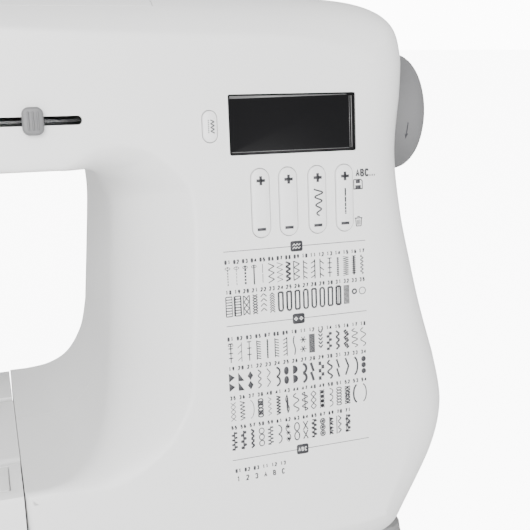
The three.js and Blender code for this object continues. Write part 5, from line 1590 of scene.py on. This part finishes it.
class MACHINE_OT_stage(bpy.types.Operator):
    """Floor, soft lights, world and camera"""
    bl_idname = "machine.stage"
    bl_label = "Stage"

    def execute(self, context):
        self.make_floor()
        self.make_world()
        self.make_lights()
        self.make_camera()
        return {"FINISHED"}

    def make_floor(self):
        net = Net("Pale floor")
        cloud = net.noise(0.7, 2.0)
        net.set(Base_Color=net.mix(cloud, (0.86, 0.86, 0.86, 1), (0.88, 0.88, 0.88, 1)),
                Roughness=cloud * 0.1 + 0.85)
        glow = net.node("ShaderNodeEmission", {}, {"Color": (1, 1, 1, 1), "Strength": FLOOR_GLOW})
        both = net.node("ShaderNodeAddShader")
        net.tree.links.new(net.shader.outputs[0], both.socket.node.inputs[0])
        net.tree.links.new(glow.socket, both.socket.node.inputs[1])
        seen = net.node("ShaderNodeMixShader", {}, {0: net.node("ShaderNodeLightPath")})
        net.tree.links.new(net.shader.outputs[0], seen.socket.node.inputs[1])
        net.tree.links.new(both.socket, seen.socket.node.inputs[2])
        net.tree.links.new(seen.socket, net.tree.nodes["Material Output"].inputs["Surface"])
        reach = 40000
        spots = [(x * reach, y * reach, -0.1) for x, y in ((-1, -1), (1, -1), (1, 1), (-1, 1))]
        make_object("floor", spots, [[0, 1, 2, 3]], net.material)

    def make_world(self):
        world = bpy.data.worlds.new("Studio")
        world.use_nodes = True
        tree = world.node_tree
        sky = tree.nodes["Background"]
        sky.inputs["Color"].default_value = (1, 1, 1, 1)
        sky.inputs["Strength"].default_value = SKY_STRENGTH
        seen = tree.nodes.new("ShaderNodeBackground")
        seen.inputs["Color"].default_value = (1, 1, 1, 1)
        seen.inputs["Strength"].default_value = BACKDROP_STRENGTH
        ray = tree.nodes.new("ShaderNodeLightPath")
        mix = tree.nodes.new("ShaderNodeMixShader")
        tree.links.new(ray.outputs["Is Camera Ray"], mix.inputs[0])
        tree.links.new(sky.outputs[0], mix.inputs[1])
        tree.links.new(seen.outputs[0], mix.inputs[2])
        tree.links.new(mix.outputs[0], tree.nodes["World Output"].inputs["Surface"])
        bpy.context.scene.world = world

    def make_lights(self):
        """A large soft light in front and a small one low on the right, both aimed at the machine."""
        aim = Vector((50, 0, 160)) * MM
        for name, place, size, power in (
                ("Front light", (-450, -1550, 760), 1.25, 52.0),
                ("Side light", (611, -1476, 170), 0.2, 1.2)):
            data = bpy.data.lights.new(name, "AREA")
            data.size = size
            data.energy = power
            lamp = bpy.data.objects.new(name, data)
            lamp.location = Vector(place) * MM
            lamp.rotation_euler = (aim - lamp.location).to_track_quat("-Z", "Y").to_euler()
            bpy.context.scene.collection.objects.link(lamp)

    def make_camera(self):
        """A fixed camera in front, turned and tipped by the two angles."""
        data = bpy.data.cameras.new("Camera")
        data.lens = CAMERA_LENS
        data.sensor_width = 36
        data.clip_start = 0.01
        camera = bpy.data.objects.new("Camera", data)
        camera.location = Vector((PANEL + np.array(CAMERA_FROM_PANEL)) * MM)
        ahead = Vector((math.sin(CAMERA_YAW) * math.cos(CAMERA_PITCH),
                        math.cos(CAMERA_YAW) * math.cos(CAMERA_PITCH),
                        -math.sin(CAMERA_PITCH)))
        camera.rotation_euler = ahead.to_track_quat("-Z", "Y").to_euler()
        bpy.context.scene.collection.objects.link(camera)
        bpy.context.scene.camera = camera


# ------------------------------------------------------------------ add-on registration
OPERATORS = (MACHINE_OT_covers, MACHINE_OT_base, MACHINE_OT_bed, MACHINE_OT_keys, MACHINE_OT_window,
             MACHINE_OT_print, MACHINE_OT_wheel, MACHINE_OT_fittings, MACHINE_OT_kept, MACHINE_OT_stage)


class MACHINE_PT_panel(bpy.types.Panel):
    """Lists the machine's build steps and settings"""
    bl_label = "Sewing machine"
    bl_idname = "MACHINE_PT_panel"
    bl_space_type = "VIEW_3D"
    bl_region_type = "UI"
    bl_category = "Sewing machine"

    def draw(self, context):
        for group in (context.scene.machine_shape, context.scene.machine_finish):
            for name in group.__annotations__:
                self.layout.prop(group, name)
        for operator in OPERATORS:
            self.layout.operator(operator.bl_idname)


CLASSES = (FinishSettings, ShapeSettings, *OPERATORS, MACHINE_PT_panel)


def register():
    """Adds the classes, and the settings on the scene."""
    for cls in CLASSES:
        bpy.utils.register_class(cls)
    bpy.types.Scene.machine_finish = bpy.props.PointerProperty(type=FinishSettings)
    bpy.types.Scene.machine_shape = bpy.props.PointerProperty(type=ShapeSettings)


def unregister():
    """Takes the settings and the classes away again."""
    del bpy.types.Scene.machine_shape
    del bpy.types.Scene.machine_finish
    for cls in reversed(CLASSES):
        bpy.utils.unregister_class(cls)


def main():
    """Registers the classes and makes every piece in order."""
    register()
    make_materials()
    for operator in OPERATORS:
        group, name = operator.bl_idname.split(".")
        getattr(getattr(bpy.ops, group), name)()


if __name__ == "__main__":
    main()
